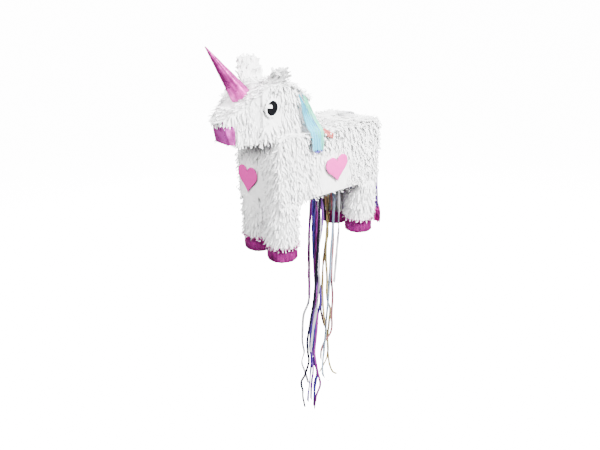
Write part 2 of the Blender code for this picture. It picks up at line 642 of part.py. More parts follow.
def streamer(name, path, look):
    """A strip of tissue: X, Y, Z and half width at each step, flat to the flank."""
    rings = []
    for x, y, z, half in path:
        rings.append([(x - half, y, z), (x + half, y, z), (x + half, y - SKIN, z), (x - half, y - SKIN, z)])
    new_object(name, loft(rings), look)


def mane_and_tail():
    """Streamers down the rear edge of the neck, and one down the rump."""
    neck = -HEAD_HALF - SKIN_OUT - GAP
    flank = -BODY_HALF - SKIN_OUT - GAP
    shoulder = (neck + flank) / 2
    falls = list(zip(MANE_FALL, (neck, neck, neck, shoulder, flank, flank)))
    for layer, (name, shift, width, look) in enumerate(MANE):
        y_shift = layer * (SKIN + GAP)
        rise = layer * MANE_LAYER_RISE
        path = [
            (MANE_X + shift + x, y - y_shift, z + rise, width * share) for (x, z, share), y in falls
        ]
        streamer(name, path, look)
    rump = BODY_REAR + SKIN_OUT + GAP
    rings = []
    for off_rump, z, half in TAIL_FALL:
        x = rump + off_rump
        low, high = TAIL_Y - half, TAIL_Y + half
        rings.append([(x, low, z), (x, high, z), (x + 2 * SKIN, high, z), (x + 2 * SKIN, low, z)])
    new_object("tail", loft(rings), MANE_PURPLE)


def main():
    clear_scene()
    body_panels()
    head()
    horn()
    ears()
    for name, x, y in leg_places():
        leg(name, x, y)
    body_skin()
    head_skin()
    stickers()
    hanging_eyelet()
    fill_flap()
    trap_door()
    ribbon_bars()
    ribbons()
    mane_and_tail()


main()
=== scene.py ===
"""The looks of the unicorn pull-ribbon pinata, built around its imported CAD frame.

Metres, +Z up. The unicorn faces -X and its left flank is on -Y. The origin is the top of the
hanging eyelet in the back.
"""

import math

import bmesh
import bpy
import numpy as np
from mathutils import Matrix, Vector, noise


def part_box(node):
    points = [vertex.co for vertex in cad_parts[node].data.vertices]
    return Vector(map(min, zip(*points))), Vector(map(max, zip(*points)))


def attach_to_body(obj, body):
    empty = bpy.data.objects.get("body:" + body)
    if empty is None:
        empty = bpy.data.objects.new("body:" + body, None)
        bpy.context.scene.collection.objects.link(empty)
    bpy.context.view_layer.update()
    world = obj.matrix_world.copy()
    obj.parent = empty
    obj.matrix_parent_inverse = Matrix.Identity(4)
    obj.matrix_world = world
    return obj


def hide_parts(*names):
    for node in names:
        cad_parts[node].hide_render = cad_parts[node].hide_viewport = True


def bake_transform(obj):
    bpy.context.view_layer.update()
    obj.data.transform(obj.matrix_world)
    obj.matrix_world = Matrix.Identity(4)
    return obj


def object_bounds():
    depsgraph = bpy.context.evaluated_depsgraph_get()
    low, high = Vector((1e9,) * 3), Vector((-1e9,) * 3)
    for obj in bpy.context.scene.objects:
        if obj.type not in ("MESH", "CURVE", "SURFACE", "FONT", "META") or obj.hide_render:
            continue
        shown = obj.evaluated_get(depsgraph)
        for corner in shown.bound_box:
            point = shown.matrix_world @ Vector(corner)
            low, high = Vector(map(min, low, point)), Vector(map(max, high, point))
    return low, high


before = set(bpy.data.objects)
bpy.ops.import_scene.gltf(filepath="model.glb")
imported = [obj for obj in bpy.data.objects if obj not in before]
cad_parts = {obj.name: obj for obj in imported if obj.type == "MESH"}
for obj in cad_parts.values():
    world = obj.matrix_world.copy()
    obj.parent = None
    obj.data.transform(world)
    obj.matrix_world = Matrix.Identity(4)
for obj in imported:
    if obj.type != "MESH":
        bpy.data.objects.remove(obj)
cad_low, cad_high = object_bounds()
draws = np.random.default_rng(11)

MM = 0.001
ROW_PITCH = 8.0 * MM  # from one row of fringe to the next
STRIP_PITCH = 2.4 * MM  # from one cut strip to the next along a row
STRIP_WIDTH = 3.1 * MM
STRIP_LENGTH = 15.5 * MM
STRIP_ROWS = 6
STAND_LIMIT = 6.2 * MM  # a strip that stands this far out runs level from there
BAND_HEIGHT = 9.5 * MM  # the uncut, glued part of each row
PRESSED = 5.4 * MM  # a sticker stands this far off the card, on pressed fringe


# ---------------------------------------------------------------- materials


def add_node(tree, kind, **values):
    """A shader node with its sockets set; a socket's name has _ for each space."""
    node = tree.nodes.new("ShaderNode" + kind)
    for socket, value in values.items():
        node.inputs[socket.replace("_", " ")].default_value = value
    return node


def link(source, target):
    source.id_data.links.new(source, target)


def new_material(name, colour, roughness, metallic=0.0):
    material = bpy.data.materials.new(name)
    material.use_nodes = True
    shader = material.node_tree.nodes["Principled BSDF"]
    shader.inputs["Base Color"].default_value = (*colour, 1.0)
    shader.inputs["Roughness"].default_value = roughness
    shader.inputs["Metallic"].default_value = metallic
    return material, shader


def add_noise(shader, scale, detail=4.0, stretch=(1.0, 1.0, 1.0), distortion=0.0):
    """A noise texture in object space, stretched along the axes."""
    place = add_node(shader.id_data, "TexCoord")
    mapping = add_node(shader.id_data, "Mapping", Scale=stretch)
    texture = add_node(shader.id_data, "TexNoise", Scale=scale, Detail=detail, Distortion=distortion)
    link(place.outputs["Object"], mapping.inputs["Vector"])
    link(mapping.outputs["Vector"], texture.inputs["Vector"])
    return texture.outputs["Fac"]


def vary_colour(shader, factor, dark, light):
    """Colour that drifts between two tones with a noise."""
    ramp = add_node(shader.id_data, "ValToRGB")
    for element, position, tone in zip(ramp.color_ramp.elements, (0.3, 0.7), (dark, light)):
        element.position = position
        element.color = (*tone, 1.0)
    link(factor, ramp.inputs["Fac"])
    link(ramp.outputs["Color"], shader.inputs["Base Color"])


def vary_roughness(shader, factor, low, high):
    span = add_node(shader.id_data, "MapRange", To_Min=low, To_Max=high)
    link(factor, span.inputs["Value"])
    link(span.outputs["Result"], shader.inputs["Roughness"])


def add_bump(shader, factor, strength, distance):
    bump = add_node(shader.id_data, "Bump", Strength=strength, Distance=distance)
    link(factor, bump.inputs["Height"])
    link(bump.outputs["Normal"], shader.inputs["Normal"])


def scaled(colour, amount):
    return tuple(min(1.0, part * amount) for part in colour)


def tissue_paper(name, colour):
    """Crepe tissue: matt, faintly wrinkled, a little uneven in tone."""
    material, shader = new_material(name, colour, 0.82)
    vary_colour(shader, add_noise(shader, 90.0), scaled(colour, 0.93), scaled(colour, 1.03))
    add_bump(shader, add_noise(shader, 900.0, 6.0, (1.0, 1.0, 0.35)), 0.35, 0.0004)
    shader.inputs["Sheen Weight"].default_value = 0.15
    shader.inputs["Sheen Roughness"].default_value = 0.5
    shader.inputs["Specular IOR Level"].default_value = 0.25
    return material


def crinkled_foil(name, colour, crinkle=0.55, stretch=(1.0, 1.0, 1.0), metallic=0.85):
    """Coloured metallic foil with fine crinkles and brushed patches."""
    material, shader = new_material(name, colour, 0.28, metallic)
    vary_colour(shader, add_noise(shader, 60.0), scaled(colour, 0.55), scaled(colour, 1.3))
    vary_roughness(shader, add_noise(shader, 140.0), 0.18, 0.42)
    add_bump(shader, add_noise(shader, 260.0, 5.0, stretch, 0.6), crinkle, 0.0012)
    shader.inputs["Specular IOR Level"].default_value = 0.6
    return material


def ribbon_film(name, colour):
    """Glossy curling ribbon with fine ribs along its length."""
    material, shader = new_material(name, colour, 0.3, 0.35)
    vary_colour(shader, add_noise(shader, 30.0), scaled(colour, 0.8), scaled(colour, 1.25))
    vary_roughness(shader, add_noise(shader, 200.0), 0.2, 0.4)
    add_bump(shader, add_noise(shader, 2200.0, 2.0, (1.0, 1.0, 0.02)), 0.25, 0.0002)
    shader.inputs["Coat Weight"].default_value = 0.3
    shader.inputs["Coat Roughness"].default_value = 0.15
    return material


def pink_card(name, colour):
    """Smooth printed card with a faint fibre grain."""
    material, shader = new_material(name, colour, 0.6)
    vary_colour(shader, add_noise(shader, 45.0), scaled(colour, 0.95), scaled(colour, 1.04))
    add_bump(shader, add_noise(shader, 1500.0, 4.0), 0.12, 0.0002)
    return material


def sticker_print(name, colour, roughness, coat):
    """Printed vinyl with faint mottling."""
    material, shader = new_material(name, colour, roughness)
    vary_roughness(shader, add_noise(shader, 300.0), roughness * 0.8, roughness * 1.3)
    add_bump(shader, add_noise(shader, 1200.0), 0.06, 0.0002)
    shader.inputs["Coat Weight"].default_value = coat
    shader.inputs["Specular IOR Level"].default_value = 0.04 + coat
    return material


def cardboard(name):
    """Kraft board: flutes that show as faint lines, and fibres."""
    material, shader = new_material(name, (0.42, 0.29, 0.17), 0.88)
    fibre = add_noise(shader, 160.0, 8.0, (1.0, 1.0, 0.25))
    vary_colour(shader, fibre, (0.33, 0.22, 0.13), (0.50, 0.36, 0.22))
    place = add_node(shader.id_data, "TexCoord")
    flutes = add_node(shader.id_data, "TexWave", Scale=45.0, Distortion=0.4)
    link(place.outputs["Object"], flutes.inputs["Vector"])
    add_bump(shader, flutes.outputs["Fac"], 0.25, 0.0006)
    return material


def bare_metal(name):
    """Nickel-plated eyelet metal, lightly scratched."""
    material, shader = new_material(name, (0.62, 0.61, 0.60), 0.25, 1.0)
    vary_roughness(shader, add_noise(shader, 400.0, 6.0, (1.0, 1.0, 6.0)), 0.18, 0.4)
    add_bump(shader, add_noise(shader, 900.0), 0.08, 0.0002)
    return material


def gummed_tape(name):
    """Off-white paper tape, wrinkled where it is stuck down."""
    material, shader = new_material(name, (0.86, 0.85, 0.82), 0.55)
    fibre = add_noise(shader, 220.0, 6.0)
    vary_colour(shader, fibre, (0.80, 0.79, 0.75), (0.90, 0.89, 0.87))
    add_bump(shader, add_noise(shader, 500.0), 0.3, 0.0003)
    return material


WHITE = tissue_paper("white_tissue", (0.91, 0.91, 0.91))
# The rosette's coil is white tissue; this grey is painted shade, for the shadow lines between its turns.
COIL_PAINTED_SHADE_TISSUE = tissue_paper("coil_painted_shade_tissue", (0.48, 0.48, 0.49))
HOOF_FOIL = crinkled_foil("hoof_foil", (0.68, 0.05, 0.44), 1.0, (1.0, 1.0, 0.45))
MUZZLE_FOIL = crinkled_foil("muzzle_foil", (0.84, 0.10, 0.60), 0.35, metallic=0.6)
HORN_SATIN = crinkled_foil("horn_satin_foil", (0.64, 0.055, 0.40), 0.16, (1.0, 1.0, 0.12), 0.7)
HEART_CARD = pink_card("heart_card", (0.66, 0.028, 0.33))
RED_TISSUE = tissue_paper("red_tissue", (0.46, 0.10, 0.09))
EYE_WHITE = sticker_print("eye_white", (0.88, 0.88, 0.88), 0.3, 0.25)
EYE_BLACK = sticker_print("eye_black", (0.003, 0.003, 0.004), 0.45, 0.0)
CARDBOARD = cardboard("kraft_board")
WHITE_BOARD = pink_card("white_faced_board", (0.86, 0.86, 0.85))
NICKEL = bare_metal("nickel_plate")
PAPER_TAPE = gummed_tape("gummed_tape")


# ---------------------------------------------------------------- meshes


def new_object(name, data):
    obj = bpy.data.objects.new(name, data)
    bpy.context.scene.collection.objects.link(obj)
    return obj


def mesh_object(name, points, faces, material):
    mesh = bpy.data.meshes.new(name)
    mesh.from_pydata([tuple(p) for p in points], [], [tuple(int(i) for i in f) for f in faces])
    mesh.validate()
    mesh.update()
    mesh.materials.append(material)
    mesh.shade_smooth()
    return new_object(name, mesh)


def attach(obj, body, slot, *replaced):
    """Says which body carries a piece, and the CAD nodes that it stands for; its slot argument is not used.
    """
    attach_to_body(obj, body)
    if replaced:
        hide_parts(*replaced)


def grid_faces(rows, columns, wrap=False):
    """Quads of a grid of points, row after row; wrap joins the last column to the first."""
    faces = []
    for r in range(rows - 1):
        for c in range(columns if wrap else columns - 1):
            d = (c + 1) % columns
            faces.append((r * columns + c, r * columns + d, (r + 1) * columns + d, (r + 1) * columns + c))
    return np.array(faces)


def tube_faces(rings, columns, close_start=True):
    """Faces of a tube of rings that is closed at its end, and at its start too unless told not to."""
    faces = list(grid_faces(rings, columns, wrap=True))
    if close_start:
        faces.append(range(columns - 1, -1, -1))
    faces.append(range((rings - 1) * columns, rings * columns))
    return faces


def circle(count):
    """The directions of even points round a circle, as pairs of cosine and sine."""
    return [(math.cos(math.tau * i / count), math.sin(math.tau * i / count)) for i in range(count)]


class Pile:
    """Gathers many small grids of points into one mesh."""

    def __init__(self):
        self.points = []
        self.faces = []
        self.count = 0

    def add_grids(self, grids, faces):
        """grids is (how many, points in each, 3); every grid has the same faces."""
        how_many, size = grids.shape[:2]
        starts = self.count + size * np.arange(how_many)
        self.points.append(grids.reshape(-1, 3))
        self.faces.append((faces[None] + starts[:, None, None]).reshape(-1, faces.shape[1]))
        self.count += how_many * size

    def finish(self, name, *replaced, material=WHITE, body="root", slot="white_tissue"):
        obj = mesh_object(name, np.concatenate(self.points), np.concatenate(self.faces), material)
        attach(obj, body, slot, *replaced)


def unit(vectors):
    """The same directions at length 1."""
    return vectors / np.maximum(np.linalg.norm(vectors, axis=-1, keepdims=True), 1e-9)


def ripple(*place):
    """Smooth noise at a place, between -1 and 1."""
    return noise.noise(Vector(place))


def offsets(start, steps):
    """Points that lie some millimetres from a start."""
    return [tuple(a + b * MM for a, b in zip(start, step)) for step in steps]


def for_each(points, ways):
    """Each point's own direction, or the same one for all of them."""
    return np.broadcast_to(np.array(ways, float), points.shape)


def add_strips(pile, roots, downs, outs, length=STRIP_LENGTH, width=STRIP_WIDTH, lift=12.0, curl=6.0,
               sway=15.0, pressed=1.0):
    """Cut strips of tissue. In degrees: lift off the surface, curl along the strip, sway sideways."""
    n = len(roots)
    if n == 0:
        return
    downs, outs = for_each(roots, downs), for_each(roots, outs)
    tilt = np.radians(draws.normal(0.0, sway, n))[:, None]
    lifts = np.radians(lift * draws.uniform(0.2, 1.9, n)) * pressed
    curls = np.radians(draws.normal(curl, 30.0, n)) * pressed
    twists = np.radians(draws.normal(0.0, 35.0, n)) * pressed
    lengths = length * draws.uniform(0.72, 1.15, n)
    widths = width * draws.uniform(0.65, 1.2, n)
    cups = widths * draws.uniform(-0.18, 0.22, n)
    run = downs * np.cos(tilt) + np.cross(downs, outs) * np.sin(tilt)
    across = np.cross(run, outs)
    grids = np.zeros((n, STRIP_ROWS, 3, 3))
    place = roots.copy()
    for r in range(STRIP_ROWS):
        s = r / (STRIP_ROWS - 1)
        standing = np.sum((place - roots) * outs, axis=1)
        angle = np.where(standing > STAND_LIMIT, 0.0, np.clip(lifts + curls * s, -0.15, 1.1))[:, None]
        ahead = run * np.cos(angle) + outs * np.sin(angle)
        face = outs * np.cos(angle) - run * np.sin(angle)
        turn = (twists * s)[:, None]
        side = across * np.cos(turn) + face * np.sin(turn)
        half = (widths * (0.5 - 0.10 * s))[:, None]
        crumple = draws.normal(0.0, 0.25 * MM, (n, 1))
        grids[:, r, 0] = place - side * half
        grids[:, r, 1] = place + face * (cups[:, None] * min(1.0, 2 * s) + crumple)
        grids[:, r, 2] = place + side * half
        place = place + ahead * (lengths / (STRIP_ROWS - 1))[:, None]
    pile.add_grids(grids.reshape(n, -1, 3), grid_faces(STRIP_ROWS, 3))


def add_band(pile, points, downs, outs, keep, closed, height=BAND_HEIGHT):
    """The uncut top of a row, glued flat."""
    n = len(points)
    wave = draws.normal(0.0, 0.15 * MM, (2, n, 1))
    upper = points + outs * (0.5 * MM + wave[0])
    lower = points + downs * height + outs * (1.1 * MM + wave[1])
    following = np.roll(np.arange(n), -1)
    starts = [i for i in range(n if closed else n - 1) if keep[i] and keep[following[i]]]
    if not starts:
        return
    ends = following[starts]
    grids = np.stack([upper[starts], upper[ends], lower[ends], lower[starts]], axis=1)
    pile.add_grids(grids, np.array([[0, 1, 2, 3]]))


def add_row(pile, points, downs, outs, closed=False, keep=None, band=True, band_height=BAND_HEIGHT,
            **style):
    """One row of fringe along a line of points: its band, and its strips."""
    downs, outs = for_each(points, downs), for_each(points, outs)
    keep = np.ones(len(points), bool) if keep is None else keep
    if band:
        add_band(pile, points, downs, outs, keep, closed, band_height)
    jitter = draws.uniform(-0.3, 0.3, (len(points), 1)) * STRIP_PITCH
    along = np.cross(downs, outs)
    roots = points + along * jitter + outs * 0.9 * MM
    pressed = press_factor(roots, outs)
    add_strips(pile, roots[keep], downs[keep], outs[keep], pressed=pressed[keep], **style)


# ---------------------------------------------------------------- stickers' places


def middle_of(node):
    """The middle of a CAD node's box."""
    low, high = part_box(node)
    return np.array((low + high) / 2)


STICKERS = [(middle_of(node), reach) for node, reach in (
    ("left_heart", 0.045), ("right_heart", 0.045), ("chest_heart", 0.045),
    ("left_eye", 0.027), ("right_eye", 0.027), ("fill_flap", 0.036),
)]


def press_factor(points, outs):
    """How freely a strip may stand: low where a sticker presses on it, 1 far from any."""
    factor = np.ones(len(points))
    for middle, reach in STICKERS:
        offset = points - middle
        above = np.sum(offset * outs, axis=1)
        beside = np.linalg.norm(offset - outs * above[:, None], axis=1)
        near = np.abs(above) < 12 * MM
        eased = np.clip((beside - reach * 0.8) / (reach * 0.5), 0.05, 1.0)
        factor = np.where(near, np.minimum(factor, eased), factor)
    return factor


# ---------------------------------------------------------------- rows of fringe


def plan_loop(x0, x1, half, corner, spacing=STRIP_PITCH):
    """Even points round a rounded rectangle in plan, with their outward directions."""
    corners = [(x1 - corner, half - corner, 0), (x0 + corner, half - corner, 90),
               (x0 + corner, corner - half, 180), (x1 - corner, corner - half, 270)]
    outline = []
    facing = []
    for cx, cy, start in corners:
        for step in range(5):
            a = math.radians(start + 22.5 * step)
            outline.append((cx + corner * math.cos(a), cy + corner * math.sin(a)))
            facing.append((math.cos(a), math.sin(a)))
    outline = np.array(outline + outline[:1])
    facing = np.array(facing + facing[:1])
    lengths = np.linalg.norm(np.diff(outline, axis=0), axis=1)
    travelled = np.concatenate([[0.0], np.cumsum(lengths)])
    count = int(travelled[-1] / spacing)
    stops = travelled[-1] * np.arange(count) / count
    points = np.stack([np.interp(stops, travelled, outline[:, k]) for k in range(2)], axis=1)
    normals = unit(np.stack([np.interp(stops, travelled, facing[:, k]) for k in range(2)], axis=1))
    return points, normals


def ring_points(middle, radius, start=0.0, pitch=STRIP_PITCH):
    """Even points round a level circle, with their outward directions."""
    count = int(math.tau * radius / pitch)
    a = math.tau * (np.arange(count) + start) / count
    outward = np.column_stack([np.cos(a), np.sin(a), np.zeros(count)])
    return np.array(middle) + outward * radius, outward


def level_row(pile, x0, x1, half, z, corner=0.006, lean=0.0, keep_rule=None, **style):
    """A row round a block at one height; lean turns it, in degrees, from the walls onto the top."""
    plan, normals = plan_loop(x0, x1, half, corner)
    points = np.column_stack([plan, np.full(len(plan), z)])
    level, up = math.cos(math.radians(lean)), math.sin(math.radians(lean))
    outs = np.column_stack([normals * level, np.full(len(plan), up)])
    downs = np.column_stack([normals * up, np.full(len(plan), -level)])
    keep = None if keep_rule is None else keep_rule(points, outs)
    add_row(pile, points, downs, outs, closed=True, keep=keep, **style)


def flat_row(pile, start, end, down, out, keep_rule=None, **style):
    """A straight row from one point to another, with its strips along down."""
    start, end = np.array(start, float), np.array(end, float)
    count = max(2, int(np.linalg.norm(end - start) / STRIP_PITCH))
    points = start + (end - start) * np.linspace(0.0, 1.0, count)[:, None]
    keep = None if keep_rule is None else keep_rule(points)
    add_row(pile, points, unit(np.array(down, float)), unit(np.array(out, float)), keep=keep, **style)


def cross_row(pile, x, z, half, down, out, keep_rule=None, **style):
    """A straight row from the left side to the right."""
    flat_row(pile, (x, -half, z), (x, half, z), down, out, keep_rule, **style)


def heights(high, low, pitch=ROW_PITCH):
    """Row heights from the lowest row up, so that each row laps over the one below."""
    count = max(1, int(round((high - low) / pitch)))
    return [low + (high - low) * i / count for i in range(count + 1)]


UP, DOWN = (0.0, 0.0, 1.0), (0.0, 0.0, -1.0)
LEGS = ("front_left", "front_right", "rear_left", "rear_right")
BODY_LOW, BODY_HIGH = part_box("side_panel_left")
BODY_X = (BODY_LOW.x, BODY_HIGH.x)
BODY_Z = (BODY_LOW.z, BODY_HIGH.z)
BODY_HALF = -BODY_LOW.y
HEAD_LOW, HEAD_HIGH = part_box("head_shell")
HEAD_HALF = HEAD_HIGH.y
SNOUT_LOW, SNOUT_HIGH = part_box("snout_shell")
FACE_SLOPE = math.radians(35)
BRIDGE_DOWN = np.array([-math.cos(FACE_SLOPE), 0.0, -math.sin(FACE_SLOPE)])
BRIDGE_OUT = np.array([-math.sin(FACE_SLOPE), 0.0, math.cos(FACE_SLOPE)])
NOSE_X = SNOUT_LOW.x  # front end of the nose bridge
NOSE_Z = SNOUT_HIGH.z - (SNOUT_HIGH.x - SNOUT_LOW.x) * math.tan(FACE_SLOPE)
NOSE_HALF = 0.0170
CREST_BACK = 0.034  # the crest slopes down over this length at the rear of the head
CREST_DROP = 0.024
CHEEK_HALF = SNOUT_HIGH.y
JAW_Z = SNOUT_LOW.z
NOSE_LEAN = 0.0095 / 0.041  # the nose runs back this much for each step down
FLAP = middle_of("fill_flap")
FLAP_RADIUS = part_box("fill_flap")[1].y
DOOR_X = 0.0480
HORN_X = -0.1505
HORN_RADIUS = 0.0175


def snout_half(x):
    """Half of the snout's width at a place along it."""
    share = np.clip((SNOUT_HIGH.x - np.asarray(x)) / (SNOUT_HIGH.x - NOSE_X), 0.0, 1.0)
    return CHEEK_HALF + (NOSE_HALF - CHEEK_HALF) * share


def base_skin(node, name):
    """The tissue glued flat under the fringe: the CAD skin, divided and wrinkled."""
    bm = bmesh.new()
    bm.from_mesh(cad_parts[node].data)
    bmesh.ops.remove_doubles(bm, verts=bm.verts, dist=0.01 * MM)
    for _ in range(4):
        long_edges = [e for e in bm.edges if e.calc_length() > 7 * MM]
        if not long_edges:
            break
        bmesh.ops.subdivide_edges(bm, edges=long_edges, cuts=1)
        bmesh.ops.triangulate(bm, faces=[f for f in bm.faces if len(f.verts) > 3])
    bm.normal_update()
    for v in bm.verts:
        v.co += v.normal * abs(noise.noise(v.co * 140.0)) * 0.4 * MM
    mesh = bpy.data.meshes.new(name)
    bm.to_mesh(mesh)
    bm.free()
    mesh.materials.clear()
    mesh.materials.append(WHITE)
    attach(new_object(name, mesh), "root", "white_tissue", node)


def leg_distance(points):
    """How far each point is, in plan, from the axis of the nearest leg."""
    middles = [middle_of(leg + "_leg") for leg in LEGS]
    return np.min([np.hypot(*(points - middle)[:, :2].T) for middle in middles], axis=0)


def over_a_leg(points, outs):
    """Which points of a row round the body lie above a leg."""
    return leg_distance(points) < 40 * MM


def near_corner(points, outs):
    """Which points of a row round the body lie by one of its upright edges."""
    x, y, _ = points.T
    return ((x < BODY_X[0] + 9 * MM) | (x > BODY_X[1] - 9 * MM)) & (np.abs(y) > BODY_HALF - 9 * MM)


def body_fringe():
    """Belts round the body, then the back in rings about the fill flap, and the belly."""
    corner = 10 * MM
    flanks = Pile()
    levels = heights(BODY_Z[1] - 4 * MM, BODY_Z[0] + 14 * MM)
    for z in levels:
        edge = min(BODY_Z[1] - z, z - BODY_Z[0], corner)
        inset = corner - math.sqrt(corner**2 - (corner - edge) ** 2)
        belt = (BODY_X[0] + inset, BODY_X[1] - inset, BODY_HALF, z)
        level_row(flanks, *belt, length=13 * MM if z == levels[0] else STRIP_LENGTH)
        level_row(flanks, *belt, keep_rule=near_corner, band=False, lift=24.0, sway=30.0)
    for drop in (8 * MM, 3 * MM):
        level_row(flanks, *BODY_X, BODY_HALF, BODY_Z[0] + drop, keep_rule=over_a_leg, length=17 * MM,
                  lift=4.0, curl=-4.0)
    flanks.finish("flank_fringe")

    back = Pile()
    far_corner = 0.165  # from the fill flap to past the back's furthest corner
    for radius in np.arange(FLAP_RADIUS + 2.5 * MM, far_corner, ROW_PITCH)[::-1]:
        points, outward = ring_points((FLAP[0], 0.0, BODY_Z[1]), radius)
        x, y, _ = points.T
        keep = (x > HEAD_HIGH.x - 2 * MM) & (x < BODY_X[1] - 6 * MM) & (np.abs(y) < BODY_HALF - 2 * MM)
        add_row(back, points, outward, UP, closed=True, keep=keep, length=13 * MM, lift=6.0, curl=2.0)
    for inset, drop, lean in ((1.5 * MM, 1.0 * MM, 35.0), (4.5 * MM, 0.2 * MM, 65.0)):
        level_row(back, BODY_X[0] + inset, BODY_X[1] - inset, BODY_HALF - inset, BODY_Z[1] - drop,
                  corner=8 * MM, lean=lean, length=13 * MM, lift=14.0, curl=12.0, sway=22.0,
                  band_height=6 * MM)
    back.finish("back_fringe")

    belly = Pile()
    door_low, door_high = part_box("front_ribbon_bar")[0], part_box("rear_ribbon_bar")[1]
    tape_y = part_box("trap_door_tape")[1].y

    def clear_of_legs_and_door(points):
        x, y, _ = points.T
        in_x = (x > door_low.x - 14 * MM) & (x < door_high.x + 2 * MM)
        in_y = (y > door_low.y - 2 * MM) & (y < tape_y + 2 * MM)
        return (leg_distance(points) > 31 * MM) & ~(in_x & in_y)

    for x in heights(BODY_X[1] - 14 * MM, BODY_X[0] + 8 * MM)[::-1]:
        cross_row(belly, x, BODY_Z[0], BODY_HALF - 2 * MM, (1, 0, 0), DOWN, clear_of_legs_and_door,
                  length=11 * MM, lift=30.0, sway=20.0)
    belly.finish("belly_fringe")


def leg_fringe(name):
    """Rings round a leg, from above its hoof up to the belly."""
    node = name + "_fringe"
    low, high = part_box(node)
    x, y, _ = middle_of(node)
    radius = (high.x - low.x) / 2 - 0.6 * MM
    pile = Pile()
    levels = heights(high.z - 2 * MM, low.z + 10 * MM)
    for z in levels:
        lowest = z == levels[0]
        points, outs = ring_points((x, y, z), radius, draws.uniform())
        add_row(pile, points, DOWN, outs, closed=True, length=(13 if lowest else 14) * MM,
                lift=7.0 if lowest else 16.0, band_height=8 * MM)
    pile.finish(name + "_leg_fringe")
    base_skin(node, name + "_leg_skin")


def bridge_z(x):
    """Height of the nose bridge at a place along it."""
    return NOSE_Z + (np.asarray(x) - NOSE_X) * math.tan(FACE_SLOPE)


def off_horn(points):
    """Leaves out strips under the horn, and those that would run into it from above."""
    x, y, _ = points.T
    ahead = x - HORN_X
    return ~((np.abs(y) < HORN_RADIUS + 1 * MM) & (ahead > -HORN_RADIUS) & (ahead < HORN_RADIUS + 9 * MM))


